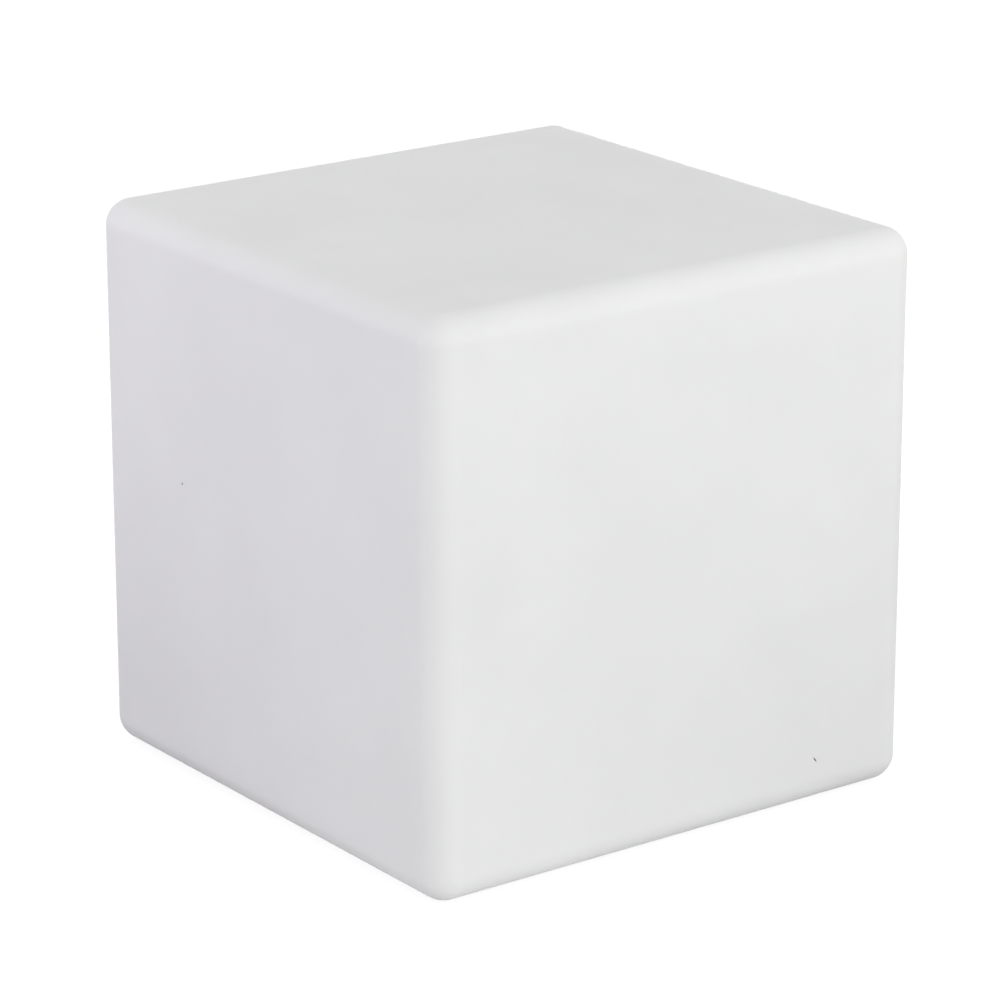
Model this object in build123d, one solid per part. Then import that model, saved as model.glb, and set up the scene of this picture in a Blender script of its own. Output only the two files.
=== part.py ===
from build123d import *
from math import cos, radians, sin, tan
import os

# Rechargeable light cube: a hollow moulded shell with a round lamp unit in its base.
# Lengths are in millimetres and angles in degrees. +Z is up, the origin is the centre of the
# base on the ground, and the two faces seen best look along -Y and -X.

# ---- cube shell --------------------------------------------------------------------------
CUBE_WIDTH = 400.0               # along X
CUBE_DEPTH = 400.0               # along Y
CUBE_HEIGHT = 396.0
EDGE_RADIUS = 19.0
SHELL_WALL = 3.2

# ---- moulded base of the shell -----------------------------------------------------------
STAND_RIM_WIDTH = 42.0           # flat rim that stands on the ground, from the cube's side
DISH_RISE = 2.0                  # the base inside the rim lies this much above the ground
DISH_SLOPE_ANGLE = 55.0          # the step between rim and dish leans this far off upright
DISH_CORNER_RADIUS = 36.0
LEDGE_HEIGHT = 16.5              # ledge that the lamp unit is screwed to, above the ground
LEDGE_WIDTH = 23.0               # from the lamp's hole to the wall of the recess below it
SEAT_DRAFT = 3.0                 # the recess opens downwards so that it leaves the mould
SEAT_LIP_RADIUS = 3.0
SEAT_CORNER_RADIUS = 2.5

# ---- moulded-in threaded inserts and their bosses ----------------------------------------
FLANGE_SCREW_COUNT = 4
FLANGE_SCREW_START = 45.0
INSERT_RADIUS = 4.0
INSERT_WAIST_RADIUS = 3.2        # the plastic grips the insert at its waist
INSERT_WAIST_LENGTH = 4.0
INSERT_LENGTH = 12.0
INSERT_BORE_DEPTH = 10.0
INSERT_BOSS_WALL = 3.0
INSERT_BOSS_ROUND = 4.0
THREAD_CORE_RADIUS = 1.65        # M4 thread, drawn plain at its core

# ---- seals -------------------------------------------------------------------------------
SEAL_THICKNESS = 1.5             # ring between ledge and flange, squeezed
SEAL_EDGE_GAP = 2.0              # the ring stays inside the flange and outside the hole
COVER_SEAL_THICKNESS = 1.2
COVER_SEAL_MARGIN = 0.8          # the ring stays this far outside the shelf's opening
COVER_SEAL_WIDTH = 2.6
DOME_SEAL_THICKNESS = 1.0

# ---- lamp housing: flange, cup, cover shelf, pillars -------------------------------------
FLANGE_GAP = 2.0                 # flange to the seat's wall
FLANGE_PLATE = 3.0
FLANGE_RIM_HEIGHT = 5.0
FLANGE_RIM_WIDTH = 3.0
FLANGE_EDGE_ROUND = 0.9
FLANGE_PAD_WALL = 1.1            # pad under each flange screw, round its head
CUP_ROOM = 5.8                   # cup's wall beyond the LED leads at the tray's end
CUP_WALL = 3.0
CUP_GAP = 2.0                    # cup to the hole in the shell
CUP_RIM_RISE = 2.4               # the cup's rim above the LED board
CUP_FOOT_ROUND = 1.4
SHELF_THICKNESS = 3.0
SHELF_WIDTH = 13.0               # from the cup's wall to the opening that the cover closes
REBATE_DEPTH = 1.4               # the cup's outside steps in where the dome slips over it
REBATE_LENGTH = 8.0
PILLAR_RADIUS = 3.6
PILLAR_WEB = 1.8                 # web that ties a pillar to the cup's wall
TRAY_PILLAR_ANGLE = 41.6         # from the X axis, in each quarter
LED_PILLAR_INSET = 4.0           # axis of the LED board's pillars from the cup's wall
LED_PILLAR_COUNT = 4
LED_BOARD_ROOM = 2.1             # LED board above the battery clamp
PILOT_RADIUS = 1.2
PILOT_DEPTH = 7.0
LUG_COUNT = 3
LUG_REACH = 1.2
LUG_HEIGHT = 2.0
LUG_ANGLE = 16.0
LUG_ABOVE_SEAT = 3.0             # lug's underside above the dome's lower edge

# ---- diffuser dome -----------------------------------------------------------------------
DOME_WALL = 1.7
DOME_SKIRT_RISE = 2.0            # the skirt's top above the cup's rim
DOME_RISE = 26.0
DOME_FIT_GAP = 0.15
SLOT_GAP = 0.3                   # clearance of the bayonet slot round its lug
SLOT_TURN = 14.0                 # angle that the dome turns to lock

# ---- bottom cover ------------------------------------------------------------------------
COVER_THICKNESS = 3.0
COVER_EDGE_GAP = 0.4
COVER_EDGE_ROUND = 0.5
COVER_PAD_RADIUS = 3.8
STANDOFF_RADIUS = 3.2
STANDOFF_OFFSET = 23.0           # the two standoffs lie on the Y axis
JACK_X = 20.0
PORT_HOLE_RADIUS = 5.5
BUTTON_X = -20.0
COLLAR_RADIUS = 11.0
COLLAR_WALL = 2.0
COLLAR_HEIGHT = 2.0
GUIDE_RADIUS = 7.0
GUIDE_HEIGHT = 4.0

# ---- power button ------------------------------------------------------------------------
BUTTON_CAP_RADIUS = 8.0
BUTTON_CAP_HEIGHT = 2.7
BUTTON_CROWN = 0.7               # the cap's face bulges by this much
BUTTON_TRAVEL = 1.0
BUTTON_SPARE = 0.3               # gap that is left behind the cap when it is pressed
STEM_RADIUS = 4.0
STEM_GAP = 0.1
CLIP_THICKNESS = 0.8
CLIP_RADIUS = 6.0
CLIP_GROOVE_RADIUS = 3.2
CLIP_MOUTH = 4.4
CLIP_GAP = 0.1
STEM_ABOVE_CLIP = 1.0
O_RING_SECTION = 0.6
O_RING_GROOVE_WIDTH = 1.5
O_RING_ABOVE_FACE = 2.3          # groove's middle, above the cover's outer face
O_RING_BORE_GAP = 0.05

# ---- control board and what it carries ---------------------------------------------------
BOARD_GAP = 1.5                  # the board passes the shelf's opening by this much
BOARD_THICKNESS = 1.6
SWITCH_SIDE = 12.0
SWITCH_BODY_HEIGHT = 3.6
SWITCH_EDGE = 0.6
PLUNGER_RADIUS = 3.25
PLUNGER_GAP = 0.15
PLUNGER_SPARE = 0.5              # plunger that still stands out when pressed
PLUNGER_HOLD = 1.6               # length of the plunger inside the switch at rest
PLUNGER_BORE_SPARE = 0.2
JACK_BARREL_RADIUS = 4.6
JACK_BARREL_LENGTH = 2.8
JACK_LENGTH = 13.0
JACK_WIDTH = 9.4
JACK_EDGE = 0.8
JACK_BORE_RADIUS = 3.2
JACK_BORE_DEPTH = 9.5
JACK_PIN_RADIUS = 1.0
JACK_PIN_RECESS = 0.8
JACK_COVER_GAP = 0.2

# Chips on the board: middle x, middle y, length along X, width along Y, height.
CHIPS = ((2.0, 10.0, 10.0, 4.0, 1.6), (2.0, -13.0, 5.0, 4.0, 1.5), (-14.0, 12.0, 6.6, 2.6, 2.2))
COIL_PLACE = (-2.0, -3.0)
COIL_SIDE = 7.0
COIL_HEIGHT = 3.2
CAPACITOR_PLACE = (-14.0, 3.0)
CAPACITOR_RADIUS = 3.1
CAPACITOR_HEIGHT = 5.2
CHIP_EDGE = 0.4

# ---- charging hole's rubber plug ---------------------------------------------------------
PLUG_HINGE_OFFSET = 14.0         # strap's hinge line, from the hole's axis
PLUG_LAP = 1.9                   # the plug's disc over the hole's edge
PLUG_THICKNESS = 2.2
PLUG_FACE_GAP = 0.3
PLUG_STRAP_WIDTH = 6.0
PLUG_SPIGOT_LENGTH = 2.4
PLUG_SPIGOT_GAP = 0.3
PLUG_SPIGOT_TAPER = 0.35
PLUG_TAB_REACH = 4.0
PLUG_TAB_WIDTH = 7.0
PLUG_EDGE_ROUND = 0.5
ANCHOR_GAP = 0.3
ANCHOR_LENGTH = 6.0
ANCHOR_STEM_RADIUS = 1.6
ANCHOR_STEM_GAP = 0.05
ANCHOR_HEAD_RADIUS = 2.4
ANCHOR_HEAD_HEIGHT = 1.4

# ---- battery -----------------------------------------------------------------------------
CELL_RADIUS = 9.2                # 18650 cell in its sleeve
CELL_LENGTH = 65.0
CELL_SPACING = 18.8
CELL_END_BEVEL = 0.8
TRAY_LIFT = 6.4                  # tray above the control board
TRAY_FLOOR = 2.2
TRAY_CELL_GAP = 0.15
TRAY_WALL = 1.8
TRAY_WALL_HEIGHT = 7.0           # side walls, above the tray's underside
TRAY_END_HEIGHT = 13.0
TRAY_END_ROOM = 1.7              # between each cell end and the tray's end wall
TRAY_LUG_RADIUS = 4.4
TAB_THICKNESS = 0.3
TAB_WIDTH = 7.0
CLAMP_WIDTH = 12.0
CLAMP_THICKNESS = 1.0
CLAMP_GAP = 0.15
CLAMP_FOOT_LENGTH = 8.0
CLAMP_BEND = 0.8                 # inner bend radius at the feet

# ---- leads and their plug housings -------------------------------------------------------
WIRE_RADIUS = 0.7
WIRE_BEND = 3.2
WIRE_PITCH = 2.5
CONNECTOR_LENGTH = 6.4
CONNECTOR_HEIGHT = 5.4
CONNECTOR_MARGIN = 2.4           # plug housing outside its outermost wires
CONNECTOR_EDGE = 0.5
CONNECTOR_MOUTH = 1.0            # depth of the round mouths that the wires enter
WIRE_GAP = 0.05
BATTERY_PLUG_X = 16.0            # middle of the battery leads' plug housing
LED_PLUG_X = -18.0
LED_PLUG_Y = -12.5
LED_WIRE_COUNT = 4
LED_WIRE_GAP = 1.5               # climbing LED leads to the tray's end
LED_WIRE_REACH = 4.7             # their last run, over the LED board

# ---- LED board ---------------------------------------------------------------------------
LED_BOARD_THICKNESS = 1.6
LED_BOARD_GAP = 0.8              # to the cup's wall
LED_EDGE_INSET = 13.2            # circle of the outer LEDs, from the board's edge
LED_OUTER_COUNT = 12
LED_INNER_CIRCLE = 14.0
LED_INNER_COUNT = 6
LED_SIDE = 5.0
LED_HEIGHT = 1.5
LED_WELL_RADIUS = 2.0
LED_WELL_DEPTH = 0.25
RECEIVER_RADIUS = 2.6
RECEIVER_HEIGHT = 6.8
RECEIVER_DEPTH = 4.4
RECEIVER_LIFT = 3.0
RECEIVER_LEG = 0.5
RECEIVER_LEG_PITCH = 1.8

# ---- screws: head radius, head height, shank radius, length under the head ---------------
FLANGE_SCREW = (3.9, 2.4, 1.6, 12.0)
COVER_SCREW = (2.6, 1.6, 1.1, 9.0)
TRAY_SCREW = (2.6, 1.6, 1.1, 8.0)
BOARD_SCREW = (2.3, 1.4, 1.1, 6.0)
CLAMP_SCREW = (2.3, 1.4, 1.1, 5.0)
SCREW_HOLE_GAP = 0.55
SCREW_HEAD_GAP = 0.4
SCREW_HEAD_CROWN = 0.6
SCREW_POINT = 0.6
RECESS_SHARE = 0.62              # cross recess: length as a share of the head's width
RECESS_WIDTH = 0.9
RECESS_DEPTH = 1.0

# ---- radii, heights and places that follow from the sizes above --------------------------
TRAY_END = CELL_LENGTH / 2 + TRAY_END_ROOM
TRAY_SIDE = CELL_SPACING / 2 + CELL_RADIUS + TRAY_WALL
LED_WIRE_X = -(TRAY_END + TRAY_WALL + LED_WIRE_GAP + WIRE_RADIUS)
CUP_INSIDE = CUP_ROOM - LED_WIRE_X
CUP_RADIUS = CUP_INSIDE + CUP_WALL
LAMP_HOLE_RADIUS = CUP_RADIUS + CUP_GAP
SEAT_RADIUS = LAMP_HOLE_RADIUS + LEDGE_WIDTH
FLANGE_RADIUS = SEAT_RADIUS - FLANGE_GAP
FLANGE_SCREW_CIRCLE = (LAMP_HOLE_RADIUS + SEAT_RADIUS) / 2
SHELF_OPENING_RADIUS = CUP_INSIDE - SHELF_WIDTH
REBATE_RADIUS = CUP_RADIUS - REBATE_DEPTH
COVER_RADIUS = CUP_INSIDE - COVER_EDGE_GAP
COVER_SEAL_INNER = SHELF_OPENING_RADIUS + COVER_SEAL_MARGIN
COVER_SEAL_OUTER = COVER_SEAL_INNER + COVER_SEAL_WIDTH
TRAY_PILLAR_CIRCLE = (COVER_SEAL_OUTER + COVER_RADIUS) / 2
LED_PILLAR_CIRCLE = CUP_INSIDE - LED_PILLAR_INSET
BOARD_RADIUS = SHELF_OPENING_RADIUS - BOARD_GAP
LED_BOARD_RADIUS = CUP_INSIDE - LED_BOARD_GAP
LED_OUTER_CIRCLE = LED_BOARD_RADIUS - LED_EDGE_INSET
PLUG_DISC_RADIUS = PORT_HOLE_RADIUS + PLUG_LAP
PLUG_HINGE_X = JACK_X - PLUG_HINGE_OFFSET
CLAMP_SIDE = TRAY_SIDE + CLAMP_GAP
CLAMP_SCREW_Y = CLAMP_SIDE + CLAMP_THICKNESS + CLAMP_FOOT_LENGTH / 2

FLANGE_TOP = LEDGE_HEIGHT - SEAL_THICKNESS
PLATE_BOTTOM = FLANGE_TOP - FLANGE_PLATE
FLANGE_BOTTOM = FLANGE_TOP - FLANGE_RIM_HEIGHT
COVER_TOP = PLATE_BOTTOM + COVER_THICKNESS
SHELF_BOTTOM = COVER_TOP + COVER_SEAL_THICKNESS
SHELF_TOP = SHELF_BOTTOM + SHELF_THICKNESS
GUIDE_TOP = COVER_TOP + GUIDE_HEIGHT
CLIP_BOTTOM = GUIDE_TOP + CLIP_GAP
STEM_TOP = CLIP_BOTTOM + CLIP_THICKNESS + STEM_ABOVE_CLIP
CAP_BACK = PLATE_BOTTOM - BUTTON_TRAVEL - BUTTON_SPARE
SWITCH_BOTTOM = STEM_TOP + BUTTON_TRAVEL + PLUNGER_SPARE
PLUNGER_TOP = SWITCH_BOTTOM + PLUNGER_HOLD
BOARD_HEIGHT = SWITCH_BOTTOM + SWITCH_BODY_HEIGHT
BOARD_TOP = BOARD_HEIGHT + BOARD_THICKNESS
WIRE_HEIGHT = BOARD_TOP + CONNECTOR_HEIGHT / 2
JACK_BOTTOM = COVER_TOP + JACK_COVER_GAP
PLUG_MIDDLE = PLATE_BOTTOM - PLUG_FACE_GAP - PLUG_THICKNESS / 2
TRAY_HEIGHT = BOARD_TOP + TRAY_LIFT
TRAY_FLOOR_TOP = TRAY_HEIGHT + TRAY_FLOOR
CELL_HEIGHT = TRAY_FLOOR_TOP + TRAY_CELL_GAP + CELL_RADIUS
CLAMP_TOP = CELL_HEIGHT + CELL_RADIUS + CLAMP_GAP + CLAMP_THICKNESS
LED_BOARD_HEIGHT = CLAMP_TOP + LED_BOARD_ROOM
LED_BOARD_TOP = LED_BOARD_HEIGHT + LED_BOARD_THICKNESS
CUP_TOP = LED_BOARD_TOP + CUP_RIM_RISE
REBATE_FLOOR = CUP_TOP - REBATE_LENGTH
DOME_SKIRT_TOP = CUP_TOP + DOME_SKIRT_RISE
DOME_BOTTOM = REBATE_FLOOR + DOME_SEAL_THICKNESS
DOME_INSIDE = REBATE_RADIUS + DOME_FIT_GAP
DOME_OUTSIDE = DOME_INSIDE + DOME_WALL
LUG_BOTTOM = DOME_BOTTOM + LUG_ABOVE_SEAT

QUARTER_TURN = 90.0
CELL_ROWS = (-CELL_SPACING / 2, CELL_SPACING / 2)
STANDOFF_PLACES = [(0, -STANDOFF_OFFSET), (0, STANDOFF_OFFSET)]
LUG_TURNS = [360.0 * step / LUG_COUNT for step in range(LUG_COUNT)]
ON_BASE = (Align.CENTER, Align.CENTER, Align.MIN)


# ---- helpers -----------------------------------------------------------------------------
def post(x, y, radius, low, high):
    """Upright cylinder between two heights."""
    return Pos(x, y, low) * Cylinder(radius, high - low, align=ON_BASE)


def ring(outer, inner, low, high):
    """Flat ring about the Z axis."""
    return post(0, 0, outer, low, high) - post(0, 0, inner, low, high)


def block(x_span, y_span, z_span):
    """Box between two values on each axis."""
    middle = [sum(span) / 2 for span in (x_span, y_span, z_span)]
    sides = [span[1] - span[0] for span in (x_span, y_span, z_span)]
    return Pos(*middle) * Box(*sides)


def rounded_outline(corners):
    """Closed face from corners (across, up, corner radius)."""
    points = [(across, up) for across, up, _ in corners]
    rounds = [corner for _, _, corner in corners]
    return make_face(FilletPolyline(*points, radius=rounds, close=True))


def mirrored(corners):
    """The same corners on the other side, in reverse, so that an outline goes on."""
    return [(-across, up, corner) for across, up, corner in reversed(corners)]


def turned(corners):
    """Solid of revolution about Z from corners (radius, height, corner radius)."""
    return revolve(Plane.XZ * rounded_outline(corners), Axis.Z)


def on_circle(radius, count, start=0.0):
    """Evenly spaced points on a circle about the Z axis."""
    turns = [start + 360.0 * step / count for step in range(count)]
    return [(radius * cos(radians(turn)), radius * sin(radians(turn))) for turn in turns]


def in_quarters(radius, angle):
    """One point in each quarter of a circle about the Z axis."""
    turns = (angle, 180 - angle, 180 + angle, -angle)
    return [(radius * cos(radians(turn)), radius * sin(radians(turn))) for turn in turns]


INSERT_PLACES = on_circle(FLANGE_SCREW_CIRCLE, FLANGE_SCREW_COUNT, FLANGE_SCREW_START)
TRAY_PLACES = in_quarters(TRAY_PILLAR_CIRCLE, TRAY_PILLAR_ANGLE)
LED_PILLAR_PLACES = on_circle(LED_PILLAR_CIRCLE, LED_PILLAR_COUNT)
LED_PLACES = on_circle(LED_OUTER_CIRCLE, LED_OUTER_COUNT, 180.0 / LED_OUTER_COUNT)
LED_PLACES += on_circle(LED_INNER_CIRCLE, LED_INNER_COUNT)


def fused(pieces):
    """One solid out of several that touch or overlap."""
    whole = pieces[0]
    for piece in pieces[1:]:
        whole = whole + piece
    return whole


def screw(kind, x, y, seat, facing):
    """Pan head screw whose head sits at height seat; facing is -1 with the head below, 1 above."""
    head_radius, head_height, shank_radius, length = kind
    shoulder = head_height - SCREW_HEAD_CROWN
    body = turned([
        (0, -length, 0),
        (shank_radius - SCREW_POINT, -length, 0),
        (shank_radius, -length + SCREW_POINT, 0),
        (shank_radius, 0, 0),
        (head_radius, 0, 0),
        (head_radius, shoulder, 0),
        (head_radius - 2 * SCREW_HEAD_CROWN, head_height, 0),
        (0, head_height, 0),
    ])
    reach = head_radius * RECESS_SHARE
    depth = (head_height - RECESS_DEPTH, head_height + RECESS_DEPTH)
    slot = (-RECESS_WIDTH / 2, RECESS_WIDTH / 2)
    body -= block((-reach, reach), slot, depth)
    body -= block(slot, (-reach, reach), depth)
    tilt = 0 if facing > 0 else 180
    return Pos(x, y, seat) * Rot(tilt, 0, 0) * body


def hole_for(kind):
    """Clearance hole radius for a screw."""
    return kind[2] + SCREW_HOLE_GAP


def group(pieces):
    """Several separate solids that share one node."""
    return Compound(children=[piece.solid() for piece in pieces])


# ---- shell and what is fixed in it -------------------------------------------------------
def insert_envelope(x, y):
    """Outside of a threaded insert: two flanges with a waist between them."""
    low = (INSERT_LENGTH - INSERT_WAIST_LENGTH) / 2
    high = (INSERT_LENGTH + INSERT_WAIST_LENGTH) / 2
    waist = INSERT_WAIST_RADIUS
    return Pos(x, y, LEDGE_HEIGHT) * turned([
        (0, 0, 0),
        (INSERT_RADIUS, 0, 0),
        (INSERT_RADIUS, low, 0),
        (waist, low, 0),
        (waist, high, 0),
        (INSERT_RADIUS, high, 0),
        (INSERT_RADIUS, INSERT_LENGTH, 0),
        (0, INSERT_LENGTH, 0),
    ])


def threaded_inserts():
    """Brass inserts, moulded into the bosses on the ledge."""
    inserts = []
    for x, y in INSERT_PLACES:
        bore = post(x, y, THREAD_CORE_RADIUS, LEDGE_HEIGHT, LEDGE_HEIGHT + INSERT_BORE_DEPTH)
        inserts.append(insert_envelope(x, y) - bore)
    return group(inserts)


def dish(offset, low, high):
    """Rounded square inside the stand rim; its sides lean in as they rise."""
    width = CUBE_WIDTH - 2 * (STAND_RIM_WIDTH - offset)
    depth = CUBE_DEPTH - 2 * (STAND_RIM_WIDTH - offset)
    plan = RectangleRounded(width, depth, DISH_CORNER_RADIUS + offset)
    return Pos(0, 0, low) * extrude(plan, high - low, taper=DISH_SLOPE_ANGLE)


def seat_radius_at(height):
    """Radius of the round recess, which opens towards the ground."""
    return SEAT_RADIUS + (LEDGE_HEIGHT - height) * tan(radians(SEAT_DRAFT))


def shell():
    """Hollow moulded cube with a dished base and the lamp unit's round seat."""
    outside = Pos(0, 0, 0) * Box(CUBE_WIDTH, CUBE_DEPTH, CUBE_HEIGHT, align=ON_BASE)
    outside = fillet(outside.edges(), EDGE_RADIUS)
    inner_sizes = [size - 2 * SHELL_WALL for size in (CUBE_WIDTH, CUBE_DEPTH, CUBE_HEIGHT)]
    inside = Pos(0, 0, SHELL_WALL) * Box(*inner_sizes, align=ON_BASE)
    inside = fillet(inside.edges(), EDGE_RADIUS - SHELL_WALL)

    # The base's inner skin follows the dish and the seat at the same wall.
    inside -= dish(SHELL_WALL, SHELL_WALL, SHELL_WALL + DISH_RISE)
    turret_top = LEDGE_HEIGHT + SHELL_WALL
    inside -= turned([
        (0, SHELL_WALL, 0),
        (seat_radius_at(SHELL_WALL) + SHELL_WALL, SHELL_WALL, 0),
        (seat_radius_at(turret_top) + SHELL_WALL, turret_top, SEAT_CORNER_RADIUS + SHELL_WALL),
        (0, turret_top, 0),
    ])
    boss_top = LEDGE_HEIGHT + INSERT_LENGTH + INSERT_BOSS_WALL
    for x, y in INSERT_PLACES:
        boss = turned([
            (0, LEDGE_HEIGHT, 0),
            (INSERT_RADIUS + INSERT_BOSS_WALL, LEDGE_HEIGHT, 0),
            (INSERT_RADIUS + INSERT_BOSS_WALL, boss_top, INSERT_BOSS_ROUND),
            (0, boss_top, 0),
        ])
        inside -= Pos(x, y, 0) * boss

    cube = outside - inside
    cube -= dish(0, 0, DISH_RISE)
    cube -= turned([
        (0, 0, 0),
        (seat_radius_at(DISH_RISE) + 2 * SEAT_LIP_RADIUS, 0, 0),
        (seat_radius_at(DISH_RISE) + 2 * SEAT_LIP_RADIUS, DISH_RISE, 0),
        (seat_radius_at(DISH_RISE), DISH_RISE, SEAT_LIP_RADIUS),
        (seat_radius_at(LEDGE_HEIGHT), LEDGE_HEIGHT, SEAT_CORNER_RADIUS),
        (0, LEDGE_HEIGHT, 0),
    ])
    cube -= post(0, 0, LAMP_HOLE_RADIUS, 0, turret_top)
    for x, y in INSERT_PLACES:
        cube -= insert_envelope(x, y)
    return cube


def seal_ring():
    """Flat silicone ring between the ledge and the flange."""
    outer = FLANGE_RADIUS - SEAL_EDGE_GAP
    inner = LAMP_HOLE_RADIUS + SEAL_EDGE_GAP
    flat = ring(outer, inner, FLANGE_TOP, LEDGE_HEIGHT)
    for x, y in INSERT_PLACES:
        flat -= post(x, y, hole_for(FLANGE_SCREW), FLANGE_TOP, LEDGE_HEIGHT)
    return flat


# ---- lamp housing ------------------------------------------------------------------------
def pillar(x, y, low, high):
    """Screw pillar with a web out to the cup's wall."""
    turn = Vector(x, y).get_angle(Vector(1, 0, 0)) * (1 if y >= 0 else -1)
    distance = Vector(x, y).length
    web = block((distance, CUP_INSIDE + CUP_WALL / 2), (-PILLAR_WEB / 2, PILLAR_WEB / 2), (low, high))
    return post(x, y, PILLAR_RADIUS, low, high) + Rot(0, 0, turn) * web


def lug(outer, turn, width, low, high):
    """Stretch of a ring that stands out from the rebate."""
    sector = block((0, outer + 1), (-outer, outer), (low, high))
    half = width / 2
    sector -= Rot(0, 0, half) * block((-outer, 2 * outer), (0, 2 * outer), (low, high))
    sector -= Rot(0, 0, -half) * block((-outer, 2 * outer), (-2 * outer, 0), (low, high))
    inner = REBATE_RADIUS - CUP_WALL / 4
    return (Rot(0, 0, turn) * sector) & ring(outer, inner, low, high)


def lamp_housing():
    """Moulded cup that hangs in the shell's hole by its flange."""
    head_radius, head_height, _, _ = FLANGE_SCREW
    rim_inside = FLANGE_RADIUS - FLANGE_RIM_WIDTH
    body = turned([
        (CUP_INSIDE, PLATE_BOTTOM, 0),
        (rim_inside, PLATE_BOTTOM, FLANGE_EDGE_ROUND),
        (rim_inside, FLANGE_BOTTOM, FLANGE_EDGE_ROUND),
        (FLANGE_RADIUS, FLANGE_BOTTOM, FLANGE_EDGE_ROUND),
        (FLANGE_RADIUS, FLANGE_TOP, FLANGE_EDGE_ROUND),
        (CUP_RADIUS, FLANGE_TOP, CUP_FOOT_ROUND),
        (CUP_RADIUS, REBATE_FLOOR, 0),
        (REBATE_RADIUS, REBATE_FLOOR, 0),
        (REBATE_RADIUS, CUP_TOP, 0),
        (CUP_INSIDE, CUP_TOP, 0),
        (CUP_INSIDE, SHELF_TOP, CUP_FOOT_ROUND),
        (SHELF_OPENING_RADIUS, SHELF_TOP, FLANGE_EDGE_ROUND),
        (SHELF_OPENING_RADIUS, SHELF_BOTTOM, 0),
        (CUP_INSIDE, SHELF_BOTTOM, 0),
    ])
    parts = [body]
    pad_radius = head_radius + SCREW_HEAD_GAP + FLANGE_PAD_WALL
    pad = (FLANGE_BOTTOM, PLATE_BOTTOM + FLANGE_PLATE / 2)
    parts += [post(x, y, pad_radius, *pad) for x, y in INSERT_PLACES]
    parts += [pillar(x, y, SHELF_TOP, TRAY_HEIGHT) for x, y in TRAY_PLACES]
    parts += [pillar(x, y, SHELF_TOP, LED_BOARD_HEIGHT) for x, y in LED_PILLAR_PLACES]
    lug_radius = REBATE_RADIUS + LUG_REACH
    lug_top = LUG_BOTTOM + LUG_HEIGHT
    parts += [lug(lug_radius, turn, LUG_ANGLE, LUG_BOTTOM, lug_top) for turn in LUG_TURNS]
    housing = fused(parts)

    for x, y in INSERT_PLACES:
        housing -= post(x, y, head_radius + SCREW_HEAD_GAP, 0, FLANGE_BOTTOM + head_height)
        housing -= post(x, y, hole_for(FLANGE_SCREW), FLANGE_BOTTOM, FLANGE_TOP)
    for x, y in TRAY_PLACES:
        housing -= post(x, y, PILOT_RADIUS, SHELF_BOTTOM, SHELF_BOTTOM + PILOT_DEPTH)
        housing -= post(x, y, PILOT_RADIUS, TRAY_HEIGHT - PILOT_DEPTH, TRAY_HEIGHT)
    for x, y in LED_PILLAR_PLACES:
        housing -= post(x, y, PILOT_RADIUS, LED_BOARD_HEIGHT - PILOT_DEPTH, LED_BOARD_HEIGHT)
    return housing


def flange_screws():
    """M4 screws from below through the flange into the inserts."""
    seat = FLANGE_BOTTOM + FLANGE_SCREW[1]
    return group([screw(FLANGE_SCREW, x, y, seat, -1) for x, y in INSERT_PLACES])


# ---- bottom cover ------------------------------------------------------------------------
def bottom_cover():
    """Round control plate with the button's guide and the charging hole."""
    cover = turned([
        (0, PLATE_BOTTOM, 0),
        (COVER_RADIUS, PLATE_BOTTOM, COVER_EDGE_ROUND),
        (COVER_RADIUS, COVER_TOP, 0),
        (0, COVER_TOP, 0),
    ])
    collar = Pos(BUTTON_X, 0, 0) * turned([
        (COLLAR_RADIUS - COLLAR_WALL, PLATE_BOTTOM - COLLAR_HEIGHT, COVER_EDGE_ROUND),
        (COLLAR_RADIUS, PLATE_BOTTOM - COLLAR_HEIGHT, COVER_EDGE_ROUND),
        (COLLAR_RADIUS, COVER_TOP, 0),
        (COLLAR_RADIUS - COLLAR_WALL, COVER_TOP, 0),
    ])
    parts = [cover, collar, post(BUTTON_X, 0, GUIDE_RADIUS, PLATE_BOTTOM, GUIDE_TOP)]
    root = PLATE_BOTTOM + COVER_EDGE_ROUND
    parts += [post(x, y, COVER_PAD_RADIUS, root, SHELF_BOTTOM) for x, y in TRAY_PLACES]
    parts += [post(x, y, STANDOFF_RADIUS, root, BOARD_HEIGHT) for x, y in STANDOFF_PLACES]
    plate = fused(parts)

    plate -= post(BUTTON_X, 0, STEM_RADIUS + STEM_GAP, 0, GUIDE_TOP)
    plate -= post(JACK_X, 0, PORT_HOLE_RADIUS, 0, COVER_TOP)
    anchor_x = PLUG_HINGE_X - ANCHOR_GAP - PLUG_THICKNESS / 2 - ANCHOR_LENGTH / 2
    plate -= post(anchor_x, 0, ANCHOR_STEM_RADIUS + ANCHOR_STEM_GAP, 0, COVER_TOP)
    head_radius, head_height, _, _ = COVER_SCREW
    for x, y in TRAY_PLACES:
        plate -= post(x, y, head_radius + SCREW_HEAD_GAP, 0, PLATE_BOTTOM + head_height)
        plate -= post(x, y, hole_for(COVER_SCREW), 0, SHELF_BOTTOM)
    for x, y in STANDOFF_PLACES:
        plate -= post(x, y, PILOT_RADIUS, BOARD_HEIGHT - PILOT_DEPTH, BOARD_HEIGHT)
    return plate


def cover_seal():
    """Ring between the cover and the housing's shelf, inside the screws."""
    return ring(COVER_SEAL_OUTER, COVER_SEAL_INNER, COVER_TOP, SHELF_BOTTOM)


def cover_screws():
    """Screws from below through the cover into the housing's pillars."""
    seat = PLATE_BOTTOM + COVER_SCREW[1]
    return group([screw(COVER_SCREW, x, y, seat, -1) for x, y in TRAY_PLACES])


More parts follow.
